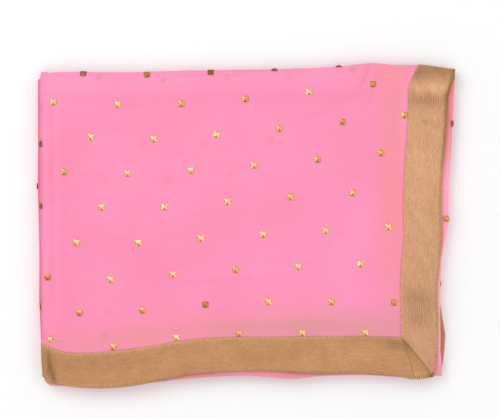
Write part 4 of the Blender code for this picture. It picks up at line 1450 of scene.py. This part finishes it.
def lowerStudPlaces():
    # Points and outward directions of the studs on the turns of the folds below
    points, normals = [], []
    for turn, offset, angle, share in zip(*lowerStuds.values()):
        near = np.array([(turn, 1, angle + step) for step in (-0.05, 0, 0.05)])
        wide = np.array([(offset, share + step, 0, 0) for step in (-0.004, 0, 0.004)])
        patch = foldedPoints(near, wide)
        normal = gridNormals(patch)[1, 1]
        points.append(patch[1, 1])
        normals.append(normal * np.sign(normal[0] * (-1 if turn % 2 else 1)))
    return np.array(points), np.array(normals)


def studAngles(normals):
    # Each stud stands on the cloth, a little askew
    dice = np.random.default_rng(7)
    angles = []
    for normal in normals:
        up = Vector(normal + np.append(dice.normal(0, stud["tilt"], 2), 0)).normalized()
        across = (Vector((1, 0, 0)) - up * up.x).normalized()
        upright = Matrix((across, up.cross(across), up)).transposed()
        angles.append((upright @ Matrix.Rotation(dice.normal(0, stud["spin"]), 3, "Z")).to_euler()[:])
    return angles


def makeStuds():
    x, y = topStudPlaces().T
    foldPoints, foldNormals = foldStudPlaces()
    lowerPoints, lowerNormals = lowerStudPlaces()
    points = np.concatenate([np.stack([x, y, topHeight(x, y)], axis=1), foldPoints, lowerPoints])
    normals = np.concatenate([topNormal(x, y), foldNormals, lowerNormals])
    dull = np.clip(spots(dullStuds, points[:, 0], points[:, 1]), 0, 0.9)
    base = basePoints("studPoints", points, [], angles=studAngles(normals), dull=dull)
    form = studForm()
    made = grown("studs", base, studGroup(), {"Form": form, "Size": 1.0, "Material": studGold})
    bpy.data.objects.remove(form)
    return made


thread = {
    "pitch": 2.15,
    "clear": 0.02,  # above the ribbon
    # The threads take the selvedge's olive and the painted shade along the mitre, made stronger
    "darkening": 1.8,  # how much stronger the olive of the selvedge is in them
}
# The picots of the selvedge's comb, and the stitches inside it
threadKinds = table("across along thick inset", (2.8, 1.05, 0.32, 1.15), (0.3, 1.4, 0.2, 3.4))


def threadLine(name, points, normals, sizes):
    olive = np.minimum(thread["darkening"] * ribbonMasks(points, 1.0)["olive"], 0.95)
    base = basePoints(name, points, [(k, k + 1) for k in range(len(points) - 1)], up=normals, olive=olive)
    return grown(name, base, threadBeads, {**sizes, "Material": threadGold})


def between(lines, share):
    # The line at a share of the way through a grid's lines
    k = min(int(share * (len(lines) - 1)), len(lines) - 2)
    part = share * (len(lines) - 1) - k
    return lines[k] * (1 - part) + lines[k + 1] * part


def ribbonThreads(name, grid, normals, lift, spans, sides=(0, 1)):
    # Picots across the selvedges and a running stitch inside them
    made = []
    for k, span in enumerate(spans):
        sizes = {title.capitalize(): threadKinds[title][k] * mm for title in ("across", "along", "thick")}
        sizes["Pitch"] = thread["pitch"] * mm
        for side in sides:
            share = abs(side - threadKinds["inset"][k] / ribbon["width"])
            normal = between(normals, share)
            line = between(grid, share) + normal * (between(lift, share)[:, None] + thread["clear"])
            made.append(threadLine(name, line[span], normal[span], sizes))
    piece = joined(name, made)
    finishPiece(piece, "ribbon")
    return piece


studs = makeStuds()
finishPiece(studs, "stud_metal")
threadBeads = threadGroup()
endThreads = ribbonThreads("endRibbonThreads", endPoints, endNormals, ribbonHigh + mitreRise,
                           (slice(1, -2), slice(4, -2)))
sideAcross, sideUp = sidePoints.transpose(1, 0, 2), sideNormals.transpose(1, 0, 2)
sideLift = np.full(sideAcross.shape[:2], ribbonHigh)
sideThreads = ribbonThreads("sideRibbonThreads", sideAcross, sideUp, sideLift,
                            (slice(2, None), slice(2, -5)))
tuckThreads = ribbonThreads("pleatThreads", tuckPoints, tuckNormals, tuckHigh,
                            (slice(None), slice(2, -4)), sides=(1,))
print("studs and threads made")

# Floor, light and camera

studio = {
    "cameraHeight": 1.6,  # m above the floor
    "clothHeight": 0.015,  # m, where the view width is measured
    "viewWidth": 500.0,  # mm of the scene across the picture
    "centreX": 3.0,
    "centreY": 16.5,
    "floorColour": (0.96, 0.96, 0.96),
    "floorLight": (0.97, 0.97, 0.97),
    "floorHalf": 3000.0,
    "floorDown": 0.3,
    "worldLight": 0.84,
    "sensor": 36.0,
    # Each lamp's place and size in metres, and its power
    "keyLight": ((-0.9, 0.8, 1.5), 1.1, 8.6),
    "fillLight": ((1.2, -0.6, 1.4), 1.4, 2.4),
}


def makeFloor():
    paint = Paint("paperFloor")
    grain = paint.ranged(paint.noise(paint.place(), 60.0, 2.0), 0.3, 0.7)
    paper = paint.mix(grain, studio["floorColour"], studio["floorLight"])
    material = paint.finish({"Base Color": paper, "Roughness": 0.9, "Specular IOR Level": 0.1})
    half = studio["floorHalf"]
    corners = [(x * half, y * half, -studio["floorDown"]) for x, y in ((-1, -1), (1, -1), (1, 1), (-1, 1))]
    makeMesh("floor", corners, [(0, 1, 2, 3)], material)


def makeStudio():
    world = bpy.data.worlds.new("studio")
    world.use_nodes = True
    world.node_tree.nodes["Background"].inputs["Color"].default_value = (1.0, 1.0, 1.0, 1.0)
    world.node_tree.nodes["Background"].inputs["Strength"].default_value = studio["worldLight"]
    scene.world = world
    for name in ("keyLight", "fillLight"):
        place, size, power = studio[name]
        light = bpy.data.lights.new(name, "AREA")
        light.size = size
        light.energy = power
        lamp = linked(name, light)
        lamp.location = place
        lamp.rotation_euler = (-Vector(place)).to_track_quat("-Z", "Y").to_euler()
    camera = linked("camera", bpy.data.cameras.new("camera"))
    camera.data.sensor_width = studio["sensor"]
    clothDistance = studio["cameraHeight"] - studio["clothHeight"]
    camera.data.lens = studio["sensor"] * clothDistance / (studio["viewWidth"] * mm)
    aimX = (studio["centreX"] + stack["centreX"]) * mm
    camera.location = (aimX, studio["centreY"] * mm, studio["cameraHeight"])
    scene.camera = camera
    scene.view_settings.view_transform = "Standard"


makeFloor()
makeStudio()
print("studio made")
